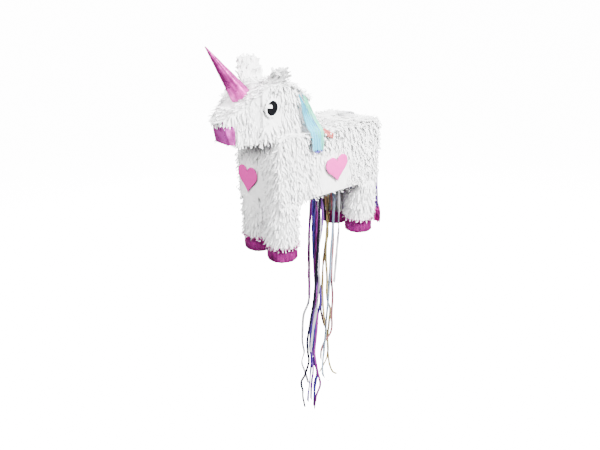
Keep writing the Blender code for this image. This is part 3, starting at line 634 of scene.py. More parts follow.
def head_fringe():
    """Belts round the head and neck block, rows over the crown and its crest, and down the face."""
    block = Pile()
    crest_x = HEAD_HIGH.x - CREST_BACK
    crest_z = HEAD_HIGH.z - CREST_DROP

    def clear_of_snout_and_crest(points, outs):
        _, y, z = points.T
        front = (outs[:, 0] < -0.7) & (np.abs(y) < CHEEK_HALF)
        crest = (outs[:, 0] > 0.7) & (z > crest_z)
        return ~front & ~crest

    def near_front_corner(points, outs):
        x, y, _ = points.T
        return (x < x.min() + 8 * MM) & (np.abs(y) > HEAD_HALF - 5 * MM)

    for z in heights(HEAD_HIGH.z - 4 * MM, 15 * MM):
        slope_in = max(0.0, (z - float(bridge_z(HEAD_LOW.x))) / math.tan(FACE_SLOPE))
        crest_in = max(0.0, z - crest_z) * CREST_BACK / CREST_DROP
        lowest = z < 20 * MM
        belt = (HEAD_LOW.x + slope_in, HEAD_HIGH.x - crest_in, HEAD_HALF, z)
        level_row(block, *belt, keep_rule=clear_of_snout_and_crest, lift=30.0 if lowest else 12.0)
        level_row(block, *belt, keep_rule=near_front_corner, band=False, lift=22.0, sway=30.0)
    x = HEAD_LOW.x
    for z in (2 * MM, 8 * MM):
        for side in (-1, 1):
            flat_row(block, (x, side * HEAD_HALF, z), (BODY_X[0], side * HEAD_HALF, z),
                     DOWN, (0, side, 0), length=18 * MM, sway=24.0)
    block.finish("head_block_fringe")

    crown = Pile()
    brow_x = NOSE_X + (HEAD_HIGH.z - NOSE_Z) / math.tan(FACE_SLOPE)
    top = HEAD_HIGH.z
    slope = unit(np.array([CREST_BACK, 0.0, -CREST_DROP]))
    slope_out = np.array([-slope[2], 0.0, slope[0]])
    crest_end = np.array([HEAD_HIGH.x, 0.0, crest_z])
    for side in (-1, 1):
        for y in heights(HEAD_HALF - 9 * MM, 2 * MM)[::-1]:
            flat_row(crown, (brow_x, side * y, top), (crest_x, side * y, top), (0, side, 0), UP,
                     length=15 * MM, lift=7.0, band_height=8 * MM)
        for inset, lean in ((1.2 * MM, 35.0), (4.5 * MM, 65.0)):
            level, up = math.cos(math.radians(lean)), math.sin(math.radians(lean))
            y = side * (HEAD_HALF - inset)
            edge = ((brow_x, y, top), (crest_x, y, top), (HEAD_HIGH.x, y, crest_z))
            for start, end in zip(edge, edge[1:]):
                flat_row(crown, start, end, (0, side * up, -level), (0, side * level, up),
                         length=14 * MM, lift=6.0, band_height=6 * MM)
    for step in heights(math.hypot(CREST_BACK, CREST_DROP), 0.0):
        x, _, z = crest_end - slope * step
        cross_row(crown, x, z, HEAD_HALF - 2 * MM, slope, slope_out, length=14 * MM, lift=7.0,
                  band_height=8 * MM)
    crown.finish("crown_fringe")

    face = Pile()
    for x in heights(brow_x, NOSE_X + 1 * MM, ROW_PITCH * math.cos(FACE_SLOPE)):
        half = HEAD_HALF if x > HEAD_LOW.x else float(snout_half(x))
        cross_row(face, x, float(bridge_z(x)), half, BRIDGE_DOWN, BRIDGE_OUT, off_horn,
                  length=14 * MM, lift=10.0)
    for z in (29 * MM, 34 * MM):
        front = NOSE_X + (NOSE_Z - z) * NOSE_LEAN - 1.6 * MM
        cross_row(face, front, z, NOSE_HALF, (0.2, 0, -1), (-1, 0, 0), length=10 * MM, lift=10.0,
                  band_height=5 * MM)
    face.finish("face_fringe")

    cheeks = Pile()
    taper = math.atan2(CHEEK_HALF - NOSE_HALF, SNOUT_HIGH.x - NOSE_X)
    for z in heights(66 * MM, 3 * MM):
        start_x = SNOUT_HIGH.x + 2 * MM
        end_x = max(NOSE_X + 2 * MM, NOSE_X + (z - NOSE_Z) / math.tan(FACE_SLOPE))
        if z < 28 * MM:
            end_x = NOSE_X + 21 * MM
        for side in (-1, 1):
            out = (-math.sin(taper), side * math.cos(taper), 0.0)
            start = (start_x, side * float(snout_half(start_x)), z)
            end = (end_x, side * float(snout_half(end_x)), z)
            length = 18 * MM if z < 4 * MM else 13 * MM
            flat_row(cheeks, start, end, DOWN, out, length=length, sway=20.0)
    for x in heights(SNOUT_HIGH.x - 2 * MM, NOSE_X + 22 * MM):
        cross_row(cheeks, x, JAW_Z, float(snout_half(x)), (-1, 0, 0), DOWN, length=9 * MM, lift=14.0)
    for x in heights(BODY_X[0] - 3 * MM, HEAD_LOW.x + 4 * MM):
        cross_row(cheeks, x, 0.0, HEAD_HALF, (-1, 0, 0), DOWN, length=9 * MM, lift=14.0)
    cheeks.finish("cheek_fringe")


def ears():
    """Ragged tufts of tissue over the ear flaps."""
    for name, side in (("left_ear", -1), ("right_ear", 1)):
        low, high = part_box(name)
        foot = np.array([(low.x + high.x) / 2, side * 0.036, low.z + 2 * MM])
        lean = math.radians(38 if side < 0 else 12)
        up = np.array([-0.10, side * math.sin(lean), math.cos(lean)])
        up /= np.linalg.norm(up)
        face = unit(np.cross([1.0, 0.0, 0.0], up) * -side)
        width = high.x - low.x
        height = (high.z - low.z) / math.cos(lean) * (0.86 if side > 0 else 0.60)
        pile = Pile()
        for layer, level in enumerate((0.0, 0.22, 0.42, 0.60)):
            count = 11
            share = np.linspace(-0.5, 0.5, count)
            spread = width * (1.05 - 0.55 * level) * (1.0 if side > 0 else 0.8)
            for flip in (-1, 1):
                roots = foot + np.outer(share * spread, [1.0, 0.0, 0.0]) + up * height * level
                roots = roots + face * flip * (1.0 + 0.3 * layer) * MM
                fan = unit(up + np.outer(share * 0.9, [1.0, 0.0, 0.0]))
                add_strips(pile, roots, fan, face * flip, length=height * 0.52, width=8.5 * MM,
                           lift=7.0, curl=5.0, sway=9.0)
        pile.finish(name + "_tissue", name)


# ---------------------------------------------------------------- foil pieces


def hoof(name):
    """A foil cup pleated round the foot of the leg, with a gathered sole."""
    low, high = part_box(name + "_hoof")
    centre = (low + high) / 2
    outer = (high.x - low.x) / 2
    height = high.z - low.z
    around = circle(120)
    profile = [(0.0, 0.0), (0.35, 0.0), (0.62, 0.0), (0.80, 0.002), (0.90, 0.02), (0.955, 0.06),
               (0.985, 0.12), (1.0, 0.20), (1.0, 0.30), (0.998, 0.42), (1.0, 0.54), (0.998, 0.66),
               (1.0, 0.78), (1.0, 0.90), (1.01, 1.0)]
    seed = Vector((centre.x * 31.0, centre.y * 17.0, 3.0))
    points = []
    for ratio, level in profile:
        for x, y in around:
            pleat = noise.noise(seed + Vector((x * 5.5, y * 5.5, level * 1.2)))
            crease = abs(noise.noise(seed * 2 + Vector((x * 9, y * 9, level * 3.5))))
            crumple = max(-0.8, 2.6 * pleat - 2.2 * crease) * MM * min(1.0, ratio)
            z = low.z + height * level
            if level <= 0.002:
                crumple *= 0.25
                z += (0.2 + 0.5 * abs(pleat)) * MM
            if level == 1.0:
                z += 2.2 * MM * noise.noise(seed + Vector((x * 12, y * 12, 9.0)))
            r = outer * ratio + crumple
            points.append((centre.x + x * r, centre.y + y * r, z))
    for ratio, level in ((0.965, 0.985), (0.955, 0.80)):  # turned in over the rim
        r = outer * ratio
        points += [(centre.x + x * r, centre.y + y * r, low.z + height * level) for x, y in around]
    faces = grid_faces(len(points) // len(around), len(around), wrap=True)
    obj = mesh_object(name + "_hoof_foil", points, faces, HOOF_FOIL)
    attach(obj, "root", "pink_foil", name + "_hoof")

    spikes = Pile()
    _, outs = ring_points(centre, outer, pitch=3.0 * MM)
    for drop, length in ((1.5 * MM, 11.0 * MM), (4.5 * MM, 10.0 * MM)):
        roots = np.array([centre.x, centre.y, high.z - drop]) + outs * (outer + 0.9 * MM)
        add_strips(spikes, roots, UP, outs, length=length, width=2.8 * MM, lift=17.0, curl=8.0,
                   sway=24.0)
    spikes.finish(name + "_hoof_rim", material=HOOF_FOIL, slot="pink_foil")


def muzzle():
    """The foil end of the nose: a squared cup over the snout, crumpled, with a closed front."""
    stand = 1.6 * MM
    corner = 0.16
    section = []
    for turn in range(4):
        for k in range(12):
            u, v = -1.0 + 2.0 * k / 12, -1.0
            for _ in range(turn):
                u, v = -v, u
            pull = 1.0 - corner * max(0.0, math.hypot(u, v) - 1.0) ** 1.5
            section.append((u * pull, v * pull))
    rings = [(t, 1.0) for t in np.linspace(0.0, 0.96, 14)]
    rings += [(1.0, 0.97), (1.0, 0.90), (1.0, 0.78), (1.0, 0.6), (1.0, 0.42), (1.0, 0.24), (1.0, 0.08)]
    back_x = NOSE_X + 0.28 * (SNOUT_HIGH.x - NOSE_X)
    foot_front = NOSE_X + NOSE_LEAN * (NOSE_Z - JAW_Z)
    points = []
    for t, shrink in rings:
        top_x = back_x + (NOSE_X - stand - back_x) * t
        foot_x = back_x + (foot_front - stand - back_x) * t
        for u, v in section:
            u, v = u * shrink, v * shrink
            x = foot_x + (top_x - foot_x) * (v + 1) / 2
            high = float(bridge_z(x)) - 0.5 * MM
            low = JAW_Z - stand
            bare = 1.0 - min(1.0, max(0.0, v - 0.1) / 0.3)  # how far this part is clear of the fringe
            beside = u * (float(snout_half(x)) + stand * (0.2 + 0.8 * bare))
            place = Vector((x, beside, (high + low) / 2 + v * (high - low) / 2))
            fold = (abs(noise.noise(place * 90.0)) - 0.25) * (0.15 + 0.85 * bare)
            wrinkle = noise.noise_vector(place * 150.0)
            push = Vector((-0.6 if shrink < 1.0 else 0.0, 0.5 * u, 0.4 * v)) * fold * 3.2 * MM
            points.append(place + push + wrinkle * 0.35 * MM)
    faces = tube_faces(len(rings), len(section), close_start=False)
    obj = mesh_object("muzzle_foil_cup", points, faces, MUZZLE_FOIL)
    obj.data.set_sharp_from_angle(angle=math.radians(35))
    attach(obj, "root", "pink_foil", "muzzle_cup")


def horn():
    """A cone rolled from folded foil, with lengthwise ridges and an open foot."""
    low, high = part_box("horn")
    lean = math.radians(38)
    length = 0.103
    axis = Vector((-math.sin(lean), 0.0, math.cos(lean)))
    tip = Vector((low.x + 0.0011, 0.0, high.z - 0.0008))
    foot = tip - axis * length
    side = Vector((0.0, 1.0, 0.0))
    front = side.cross(axis)
    columns, rows = 96, 44
    folds = 7
    points = []
    for inside in (False, True):
        for r in range(rows):
            s = r / (rows - 1)
            s = 1.0 - s if inside else s
            for c in range(columns):
                a = math.tau * c / columns
                ridge = abs(math.sin(folds * a / 2 + 1.1 * s))
                radius = HORN_RADIUS * (1.0 - s) + 0.0010
                radius *= 0.93 + 0.07 * ridge
                wrinkle = ripple(math.cos(a) * 2.6, math.sin(a) * 2.6, s * 9.0)
                radius += wrinkle * 0.5 * MM * (1.0 - s * 0.7)
                if inside:
                    radius = max(0.2 * MM, radius - 0.9 * MM)
                rim = 0.0
                if s < 0.001:
                    rim = 0.5 * MM * ripple(math.cos(a) * 4, math.sin(a) * 4, 2.0)
                place = foot + axis * (s * length * (0.97 if inside else 1.0) + rim)
                points.append(place + (side * math.cos(a) + front * math.sin(a)) * radius)
    faces = list(grid_faces(2 * rows, columns, wrap=True))
    last = (2 * rows - 1) * columns
    for c in range(columns):
        d = (c + 1) % columns
        faces.append((last + c, last + d, d, c))
    obj = mesh_object("horn_foil", points, faces, HORN_SATIN)
    attach(obj, "root", "horn_satin", "horn")


# ---------------------------------------------------------------- hearts and eyes


HEART_WIDTH = 59 * MM


def heart_points(width, steps=72):
    """The classic heart curve, which is 32 units wide."""
    size = width / 32
    points = []
    for i in range(steps):
        t = math.tau * i / steps
        up = 13 * math.cos(t) - 5 * math.cos(2 * t) - 2 * math.cos(3 * t) - math.cos(4 * t)
        points.append((16 * math.sin(t) ** 3 * size, (up + 2.5) * size))
    return points


def domed_plate(name, outline, place, right, thick, dome, material, slot, *replaced):
    """A thin upright plate: rings shrink to its middle, with a rolled edge and a slight dome."""
    place, right, up = np.array(place), np.array(right, float), np.array(UP)
    out = np.cross(right, up)
    rings = [(0.12, 0.0), (0.5, 0.0), (1.0, 0.0), (1.0, 0.55 * thick), (0.985, 0.9 * thick), (0.96, thick)]
    rings += [(k, thick + dome * (1 - k**2)) for k in (0.85, 0.7, 0.5, 0.3, 0.12)]
    points = []
    for share, rise in rings:
        for a, b in outline:
            wobble = noise.noise(Vector((a, b, place[0])) * 70.0) * 0.35 * MM
            points.append(place + right * a * share + up * b * share + out * (rise + wobble))
    obj = mesh_object(name, points, tube_faces(len(rings), len(outline)), material)
    obj.data.set_sharp_from_angle(angle=math.radians(50))
    attach(obj, "root", slot, *replaced)


def hearts():
    """A card heart on each flank, a little tilted, and an upright one on the chest."""
    upright = heart_points(HEART_WIDTH)
    tilt = math.radians(5)
    tilted = [(a * math.cos(tilt) - b * math.sin(tilt), a * math.sin(tilt) + b * math.cos(tilt))
              for a, b in upright]
    mirrored = [(-a, b) for a, b in reversed(tilted)]
    ups = [b for _, b in upright]
    for name, outline, right in (("left_heart", tilted, (1, 0, 0)), ("right_heart", mirrored, (-1, 0, 0)),
                                 ("chest_heart", upright, (0, -1, 0))):
        x, y, z = middle_of(name)
        if name == "chest_heart":
            x = BODY_X[0] - PRESSED
        else:
            y = -right[0] * (BODY_HALF + PRESSED)
        place = (x, y, z - (max(ups) + min(ups)) / 2)
        domed_plate(name + "_card", outline, place, right, 0.9 * MM, 0.5 * MM, HEART_CARD, "pink_card", name)


def ellipse(half_width, half_height, tilt=0.0, centre=(0.0, 0.0)):
    """An oval's outline, turned by tilt about its centre."""
    cos, sin = math.cos(tilt), math.sin(tilt)
    ovals = [(half_width * x, half_height * y) for x, y in circle(48)]
    return [(centre[0] + x * cos - y * sin, centre[1] + x * sin + y * cos) for x, y in ovals]


def eyes():
    """A white sticker with a bold black oval, and in its front a glint and a rounded notch."""
    for name, side in (("left_eye", -1), ("right_eye", 1)):
        x, _, z = middle_of(name)
        place = np.array((x, side * (HEAD_HALF + PRESSED), z))
        right = (-side, 0, 0)
        white = ellipse(14.8 * MM, 15.6 * MM, math.radians(20) * side)
        black = ellipse(11.2 * MM, 12.8 * MM, math.radians(24) * side)
        glint = ellipse(2.8 * MM, 3.2 * MM, 0.0, (side * 3.0 * MM, 3.0 * MM))
        notch = ellipse(4.2 * MM, 2.6 * MM, math.radians(-20) * side, (side * 8.6 * MM, 4.0 * MM))
        domed_plate(name + "_sticker", white, place, right, 0.5 * MM, 0.3 * MM, EYE_WHITE, "eye_sticker",
                    name)
        for part, outline, rise, colour in (("black", black, 0.95, EYE_BLACK),
                                            ("glint", glint, 1.10, EYE_WHITE),
                                            ("notch", notch, 1.10, EYE_WHITE)):
            domed_plate(name + "_" + part, outline, place + (0.0, side * rise * MM, 0.0), right,
                        0.12 * MM, 0.05 * MM, colour, "eye_sticker")


# ---------------------------------------------------------------- streamers, rosette, tapes


def smooth_route(points, count):
    """Points read at even steps from a smooth curve through the route's own points."""
    knots = [points[0], *points, points[-1]]
    stretches = len(points) - 1
    route = []
    for i in range(count):
        place = stretches * i / (count - 1)
        k = min(int(place), stretches - 1)
        t = place - k
        a, b, c, d = (Vector(knots[k + n]) for n in range(4))
        route.append(
            0.5 * (2 * b + (c - a) * t + (2 * a - 5 * b + 4 * c - d) * t**2 + (3 * b - a - 3 * c + d) * t**3)
        )
    return route


def pleated_sheet(name, path, half_widths, across, out, paper, slot, pleats, depth, *replaced):
    """A streamer of tissue: gathered along its top, pleated down its length, ragged at its foot.

    The half widths down its length and the depth of its pleats are in millimetres.
    """
    rows, columns = 46, 25
    line = smooth_route(path, rows)
    across, out = Vector(across), Vector(out)
    grid = []
    seed = Vector((path[0][0] * 90.0, path[0][2] * 70.0, len(name)))
    for r, place in enumerate(line):
        s = r / (rows - 1)
        half = MM * float(np.interp(s * (len(half_widths) - 1), range(len(half_widths)), half_widths))
        for c in range(columns):
            u = -1.0 + 2.0 * c / (columns - 1)
            drift = noise.noise(seed + Vector((u * 1.4, s * 4.0, 0.0)))
            fold = math.sin(pleats * u * math.pi + 1.6 * s + 1.5 * drift)
            fine = noise.noise(seed + Vector((u * 7.0, s * 16.0, 5.0)))
            lift = (depth * min(1.0, 0.35 + s) * fold + 0.5 * fine) * MM
            ragged = 7.0 * MM * noise.noise(seed + Vector((u * 5.0, 0.0, 9.0))) * s**6
            grid.append(place + across * half * (u + 0.10 * drift) + out * lift + Vector((0, 0, ragged)))
    obj = mesh_object(name, grid, grid_faces(rows, columns), paper)
    attach(obj, "root", slot, *replaced)


MANE_X = -0.063

# The mane's line down the rear edge of the neck, as X from MANE_X and height.
MANE_FALL = ((0.0, 0.070), (0.008, 0.051), (0.017, 0.030), (0.025, 0.011), (0.030, -0.002),
             (0.034, -0.034))

# Each streamer: name, shift along X, how far it stands off in millimetres, colour, its half width in
# millimetres, the shares of that down its length, and its pleats.
MANE = (
    ("mane_purple", 0.005, 8.8, (0.10, 0.07, 0.42), 9.5, (0.03, 0.20, 0.50, 0.8, 1.1, 1.2), 2.5),
    ("mane_green", 0.007, 10.0, (0.16, 0.66, 0.46), 10.0, (0.08, 0.50, 0.90, 1.05, 1.0, 0.7), 3.5),
    ("mane_blue", -0.004, 11.2, (0.07, 0.46, 0.62), 10.0, (0.05, 0.35, 0.75, 1.0, 1.15, 1.1), 3.5),
)


def mane():
    """Three streamers of tissue down the rear edge of the neck, and a small red one behind."""
    for name, shift, stand, colour, width, shares, pleats in MANE:
        neck = -HEAD_HALF - stand * MM
        flank = -BODY_HALF - (stand - 1.0) * MM
        sides = (neck + 3 * MM, neck, neck, (neck + flank) / 2, flank, flank)
        drop = -5 * MM if name == "mane_purple" else 0.0
        path = [(MANE_X + shift + x, y, z + (drop if z < -0.01 else 0.0))
                for (x, z), y in zip(MANE_FALL, sides)]
        halves = [width * share for share in shares]
        pleated_sheet(name + "_tissue", path, halves, (1, 0, 0), (0, 1, 0),
                      tissue_paper(name + "_paper", colour), name, pleats, 1.5, name)
    path = offsets((0.0, -BODY_HALF - 8.5 * MM, 0.0), ((-16, 2, 1), (-10, 0, -3), (0, 0, -9), (10, 0, -15)))
    pleated_sheet("red_scrap_tissue", path, (4, 5, 5.5, 4.5), (0.4, 0, 0.9), (0, 1, 0), RED_TISSUE,
                  "mane_purple", 2.0, 0.7)


TAIL_Y = -0.048


def tail():
    """A purple streamer down the rump that ends in a foil tip."""
    rump = (BODY_X[1], TAIL_Y, 0.0)
    path = offsets(rump, ((7, 0, -34), (9, 0, -75), (13, -1, -118), (17, -2, -160), (19, -4, -200)))
    pleated_sheet("tail_tissue", path, (3, 4, 4, 4, 5), (0, 1, 0), (1, 0, 0),
                  tissue_paper("tail_paper", (0.10, 0.04, 0.25)), "mane_purple", 2.0, 1.0, "tail")
    path = offsets(rump, ((19, -3, -186), (20, -5, -202), (20, -7, -218), (18, -7, -234)))
    pleated_sheet("tail_foil_tip", path, (4, 9, 11, 10), (0, 1, 0), (1, 0, 0), HOOF_FOIL, "pink_foil",
                  3.0, 1.6)


def rosette():
    """A coil of white tissue standing on the fill flap, coloured grey as painted shade between its turns,
    with a ring of fringe round it.
    """
    x, z = FLAP[0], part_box("fill_flap")[1].z
    hinge_x = x - FLAP_RADIUS - 1.5 * MM
    coil_x = x + 2 * MM  # set back, so that the coil clears the back when the flap swings open
    turns, steps = 2.3, 230
    grid = []
    for i in range(steps):
        s = i / (steps - 1)
        a = math.tau * turns * s
        radius = (5.5 + 14.5 * s) * MM + 0.5 * MM * ripple(a * 1.3, 0.0, 0.0)
        height = (6.0 + 0.8 * ripple(a * 2.0, 4.0, 0.0)) * MM
        for out, up in ((0.0, 0.0), (0.2, 0.5), (0.4, 1.0), (0.9, 0.96), (0.8, 0.5), (1.0, 0.0)):
            r = radius + out * MM
            grid.append((coil_x + r * math.cos(a), r * math.sin(a), z + 0.3 * MM + height * up))
    # The coil's grey tissue is painted shade: it stands in for the shadow lines between the turns of a white
    # coil.
    coil = Pile()
    coil.add_grids(np.array(grid)[None], grid_faces(steps, 6))
    coil.finish("flap_rosette_coil", material=COIL_PAINTED_SHADE_TISSUE, body="fill_flap")

    pile = Pile()
    rings, around = 6, circle(48)
    disc = []
    for ring in range(rings):
        r = 23.4 * MM * ring / (rings - 1)
        for cos, sin in around:
            bump = 0.4 * MM * abs(ripple(cos * r * 200, sin * r * 200, 3.0))
            disc.append((x + r * cos, r * sin, z + 0.35 * MM + bump))
    pile.add_grids(np.array(disc)[None], grid_faces(rings, len(around), wrap=True))
    for radius, length in ((20.5, 9.0), (15.0, 7.0), (9.0, 6.0), (3.0, 5.0)):
        points, outward = ring_points((x, 0.0, z + 0.5 * MM), radius * MM)
        clear = points[:, 0] + outward[:, 0] * length * 1.15 * MM > hinge_x + 3 * MM
        add_row(pile, points, outward, UP, closed=True, keep=clear, band=False, length=length * MM,
                lift=10.0)
    pile.finish("flap_rosette_tissue", "flap_rosette", body="fill_flap")


def hinge_tape(name, node, sections, across, width):
    """A strip of paper tape glued over a hinge line: it follows one body, then the other."""
    rows, columns = 40, 9
    line = smooth_route(sections, rows)
    across = Vector(across)
    layers = []
    for thick in (0.0, 0.25 * MM):
        for r, place in enumerate(line):
            ahead = (line[min(r + 1, rows - 1)] - line[max(r - 1, 0)]).normalized()
            face = across.cross(ahead)
            for c in range(columns):
                u = c / (columns - 1) - 0.5
                crease = 0.08 * MM * ripple(u * 9.0, r * 0.5, thick * 900)
                layers.append(place + across * u * width + face * (thick + crease))
    top = grid_faces(rows, columns)
    faces = [tuple(f) for f in top[:, ::-1]] + [tuple(f + rows * columns) for f in top]
    border = [c for c in range(columns)] + [r * columns + columns - 1 for r in range(1, rows)]
    border += [(rows - 1) * columns + c for c in range(columns - 2, -1, -1)]
    border += [r * columns for r in range(rows - 2, 0, -1)]
    shift = rows * columns
    for a, b in zip(border, border[1:] + border[:1]):
        faces.append((a, b, b + shift, a + shift))
    obj = mesh_object(name, layers, faces, PAPER_TAPE)
    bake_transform(obj)
    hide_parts(node)


def hinge_tapes():
    """The fill flap's tape lies on the back and the flap, and the trap door's under the belly."""
    low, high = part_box("fill_flap_tape")
    hinge_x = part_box("fill_flap")[0].x - 1.5 * MM
    z = low.z + 0.1 * MM
    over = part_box("fill_flap")[1].z + 0.1 * MM
    sections = [(x, 0, height) for x, height in (
        (low.x, z), (low.x + 4 * MM, z), (hinge_x - 0.6 * MM, z + 0.05 * MM),
        (hinge_x + 1.2 * MM, over), (hinge_x + 5 * MM, over), (hinge_x + 10 * MM, over))]
    hinge_tape("fill_flap_paper_tape", "fill_flap_tape", sections, (0, -1, 0),
               16 * MM)

    low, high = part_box("trap_door_tape")
    door_low, door_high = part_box("trap_door")
    hinge_y = door_high.y + 1.5 * MM
    z = high.z - 0.1 * MM
    under = door_low.z - 0.1 * MM
    sections = [(DOOR_X, y, height) for y, height in (
        (high.y, z), (high.y - 4 * MM, z), (hinge_y + 0.6 * MM, z - 0.05 * MM),
        (hinge_y - 1.3 * MM, under), (hinge_y - 5 * MM, under), (hinge_y - 9 * MM, under))]
    hinge_tape("trap_door_paper_tape", "trap_door_tape", sections, (-1, 0, 0),
               56 * MM)


def door_fringe():
    """Short fringe under the trap door, clear of the patch and of the pull ribbon when open."""
    low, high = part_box("trap_door")
    patch_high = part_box("ribbon_patch")[1]
    pile = Pile()

    def clear_of_patch(points):
        x, y, _ = points.T
        return ~((x > DOOR_X - 12 * MM) & (x < DOOR_X + 16 * MM) & (y < patch_high.y + 10 * MM))

    for y in heights(high.y - 13 * MM, low.y + 5 * MM, 7 * MM)[::-1]:
        flat_row(pile, (low.x + 2 * MM, y, low.z), (high.x - 2 * MM, y, low.z), (0, -1, 0), DOWN,
                 clear_of_patch, length=9 * MM, lift=14.0, sway=18.0, band_height=6 * MM)
    pile.finish("trap_door_tissue", body="trap_door")


# ---------------------------------------------------------------- ribbons

BAR_OFFSET = 0.0360
BUNCH_TURN = math.radians(-42.1)
BUNCH_X = 0.0200
RIBBON_WIDTH = 0.0055

# Each ribbon: name, side of its bar (-1 front, 1 rear), colour, and its route as pairs of
# millimetres: across the bunch, and height. The first pair is where it leaves the glued bar.
RIBBONS = (
    ("ribbon_grey", -1, (0.55, 0.55, 0.58),
     ((-1.9, -131), (-1, -170), (-3.5, -240), (-2.5, -330), (-3.4, -397), (-14.9, -436),
      (-17.5, -488), (-16.4, -517), (-13, -538), (-19, -564), (-11, -592), (-3.1, -625))),
    ("ribbon_magenta", -1, (0.30, 0.04, 0.30),
     ((0.8, -131), (0, -169), (-4, -234), (-4.4, -290), (-4, -336), (-3, -391))),
    ("ribbon_violet", -1, (0.13, 0.05, 0.48),
     ((3.5, -131), (4.4, -169), (4.1, -234), (9.5, -336), (12.2, -370), (6.3, -412),
      (2.4, -449), (1.2, -488), (-0.3, -517), (4, -552), (2, -590), (-2, -640), (-4, -676))),
    ("ribbon_blue", -1, (0.08, 0.07, 0.44),
     ((6.2, -131), (7, -180), (6.5, -240), (11, -330), (12, -375), (14, -420), (11, -470),
      (8, -520), (13, -560), (17, -592), (12, -640), (11, -688))),
    ("ribbon_navy", -1, (0.06, 0.03, 0.22),
     ((8.9, -131), (10, -175), (9.3, -253), (16.4, -330), (20.2, -357), (22.5, -391),
      (17, -425), (15.6, -458), (12, -500), (10, -553), (16.6, -585), (10.3, -622), (11, -679))),
    ("ribbon_purple", -1, (0.24, 0.03, 0.24),
     ((11.5, -131), (12, -200), (10, -300), (13, -400), (15.8, -440), (13, -490), (11, -530),
      (18, -580), (25, -617), (16, -652), (12, -692))),
    ("ribbon_silver", -1, (0.60, 0.62, 0.66),
     ((14.2, -131), (14.5, -159), (18.6, -200), (17.5, -234), (14.5, -279), (16.4, -313),
      (19, -336), (17, -370), (13, -410), (8, -450), (4, -490), (1, -524))),
    ("ribbon_black", -1, (0.01, 0.01, 0.02),
     ((16.9, -131), (16, -200), (13, -290), (8, -380), (0, -440), (-6, -490), (-5, -520),
      (-3, -548), (-11, -584), (-20, -606), (-16.5, -632), (-15.5, -653), (-11.4, -680))),
    ("ribbon_jet", 1, (0.07, 0.05, 0.07),
     ((28.6, -131), (28.6, -187), (33, -218), (38.2, -243), (40, -266), (37, -292),
      (32.8, -318), (31.1, -344), (29, -375), (27.6, -436), (27.6, -465), (31.5, -490),
      (38, -514))),
    ("ribbon_gold", 1, (0.66, 0.50, 0.22),
     ((33.3, -131), (33.7, -169), (34.5, -193), (40.5, -227), (36.9, -268), (31.7, -323),
      (30, -370), (31, -430), (36, -490), (45, -550), (46, -594), (37, -622), (27, -647))),
    ("ribbon_yellow", 1, (0.72, 0.60, 0.24),
     ((38, -131), (38, -200), (36.5, -280), (36.5, -323), (40, -370), (40, -410),
      (43, -436), (49, -460), (47, -500), (44.5, -540), (47, -585), (50, -614), (59, -640),
      (70, -648))),
    ("ribbon_rose", 1, (0.46, 0.18, 0.20),
     ((43.4, -131), (43.6, -161), (48.5, -196), (51.3, -234), (52.2, -279), (50.4, -323),
      (50, -370), (53.3, -410), (53.6, -440), (52.6, -470), (54, -501), (50, -524),
      (38, -546), (30, -570), (28.5, -600))),
    ("ribbon_sky", 1, (0.35, 0.48, 0.62),
     ((50.1, -131), (50, -220), (47, -300), (44, -400), (40, -480), (36, -560), (33, -620),
      (37, -648), (50, -660))),
    ("ribbon_pearl", 1, (0.75, 0.75, 0.78),
     ((60.2, -131), (60.2, -180), (61.5, -240), (59.1, -292), (57, -334), (55, -372))),
)

# The pull ribbon, in millimetres from the middle of the door: X, Y and height.
PULL_ROUTE = (
    (0, 0, -131.3), (1, 0, -160), (6, 0.5, -190), (8, 1, -215), (5, 1, -240), (0, 1.5, -270),
    (-1, 2, -300), (0, 2, -330), (-4, 2, -370), (-10, 2, -420), (-16, 2, -470),
    (-20, 2, -520), (-18, 2, -560), (-14, 2, -600), (-19, 2, -640), (-21, 2, -688),
)


def ribbon(name, points, colour, body):
    """A flat ribbon that slowly turns over as it hangs, cut on the slant at its end."""
    route = smooth_route(points, 110)
    turn = draws.uniform(0.0, math.pi)
    rate = draws.normal(0.0, 1.0)
    grid = []
    thick = 0.12 * MM
    for i, place in enumerate(route):
        s = i / (len(route) - 1)
        ahead = (route[min(i + 1, len(route) - 1)] - route[max(i - 1, 0)]).normalized()
        wander = ripple(s * 4.5, turn * 5.0, rate)
        angle = BUNCH_TURN + 0.4 * rate * s + 1.5 * wander
        level = Vector((math.cos(angle), math.sin(angle), 0.0))
        across = (level - ahead * level.dot(ahead)).normalized()
        face = ahead.cross(across)
        half = RIBBON_WIDTH / 2
        slant = 2.5 * MM if i == len(route) - 1 else 0.0
        curl = 0.5 * MM * math.sin(s * 40.0 + turn)
        for side, rise in ((-1.0, curl), (0.0, 0.0), (1.0, curl)):
            grid.append(place + across * half * side + face * rise + ahead * slant * side)
        for side, rise in ((1.0, curl), (0.0, 0.0), (-1.0, curl)):
            grid.append(place + across * half * side + face * (rise - thick) + ahead * slant * side)
    material = ribbon_film(name + "_film", colour)
    obj = mesh_object(name + "_flat", grid, tube_faces(len(route), 6), material)
    attach(obj, body, name, name)


def ribbons():
    """Each decoy ribbon hangs in its own plane, all turned alike; the pull ribbon hangs off the door."""
    cos, sin = math.cos(BUNCH_TURN), math.sin(BUNCH_TURN)
    for name, side, colour, pairs in RIBBONS:
        start_x = DOOR_X + side * BAR_OFFSET - BUNCH_X
        deep = (start_x - pairs[0][0] * MM * cos) / -sin
        points = []
        for across, height in pairs:
            x = BUNCH_X + across * MM * cos - deep * sin
            y = across * MM * sin + deep * cos
            points.append((x, y, height * MM))
        ribbon(name, points, colour, "root")
    ribbon("pull_ribbon", offsets((DOOR_X, 0.0, 0.0), PULL_ROUTE), (0.16, 0.05, 0.26), "pull_ribbon")


# ---------------------------------------------------------------- camera, light, floor


def aimed(name, data, place, target):
    """A camera or lamp that looks at a point."""
    obj = new_object(name, data)
    obj.location = place
    obj.rotation_euler = (Vector(target) - obj.location).to_track_quat("-Z", "Y").to_euler()
    return obj


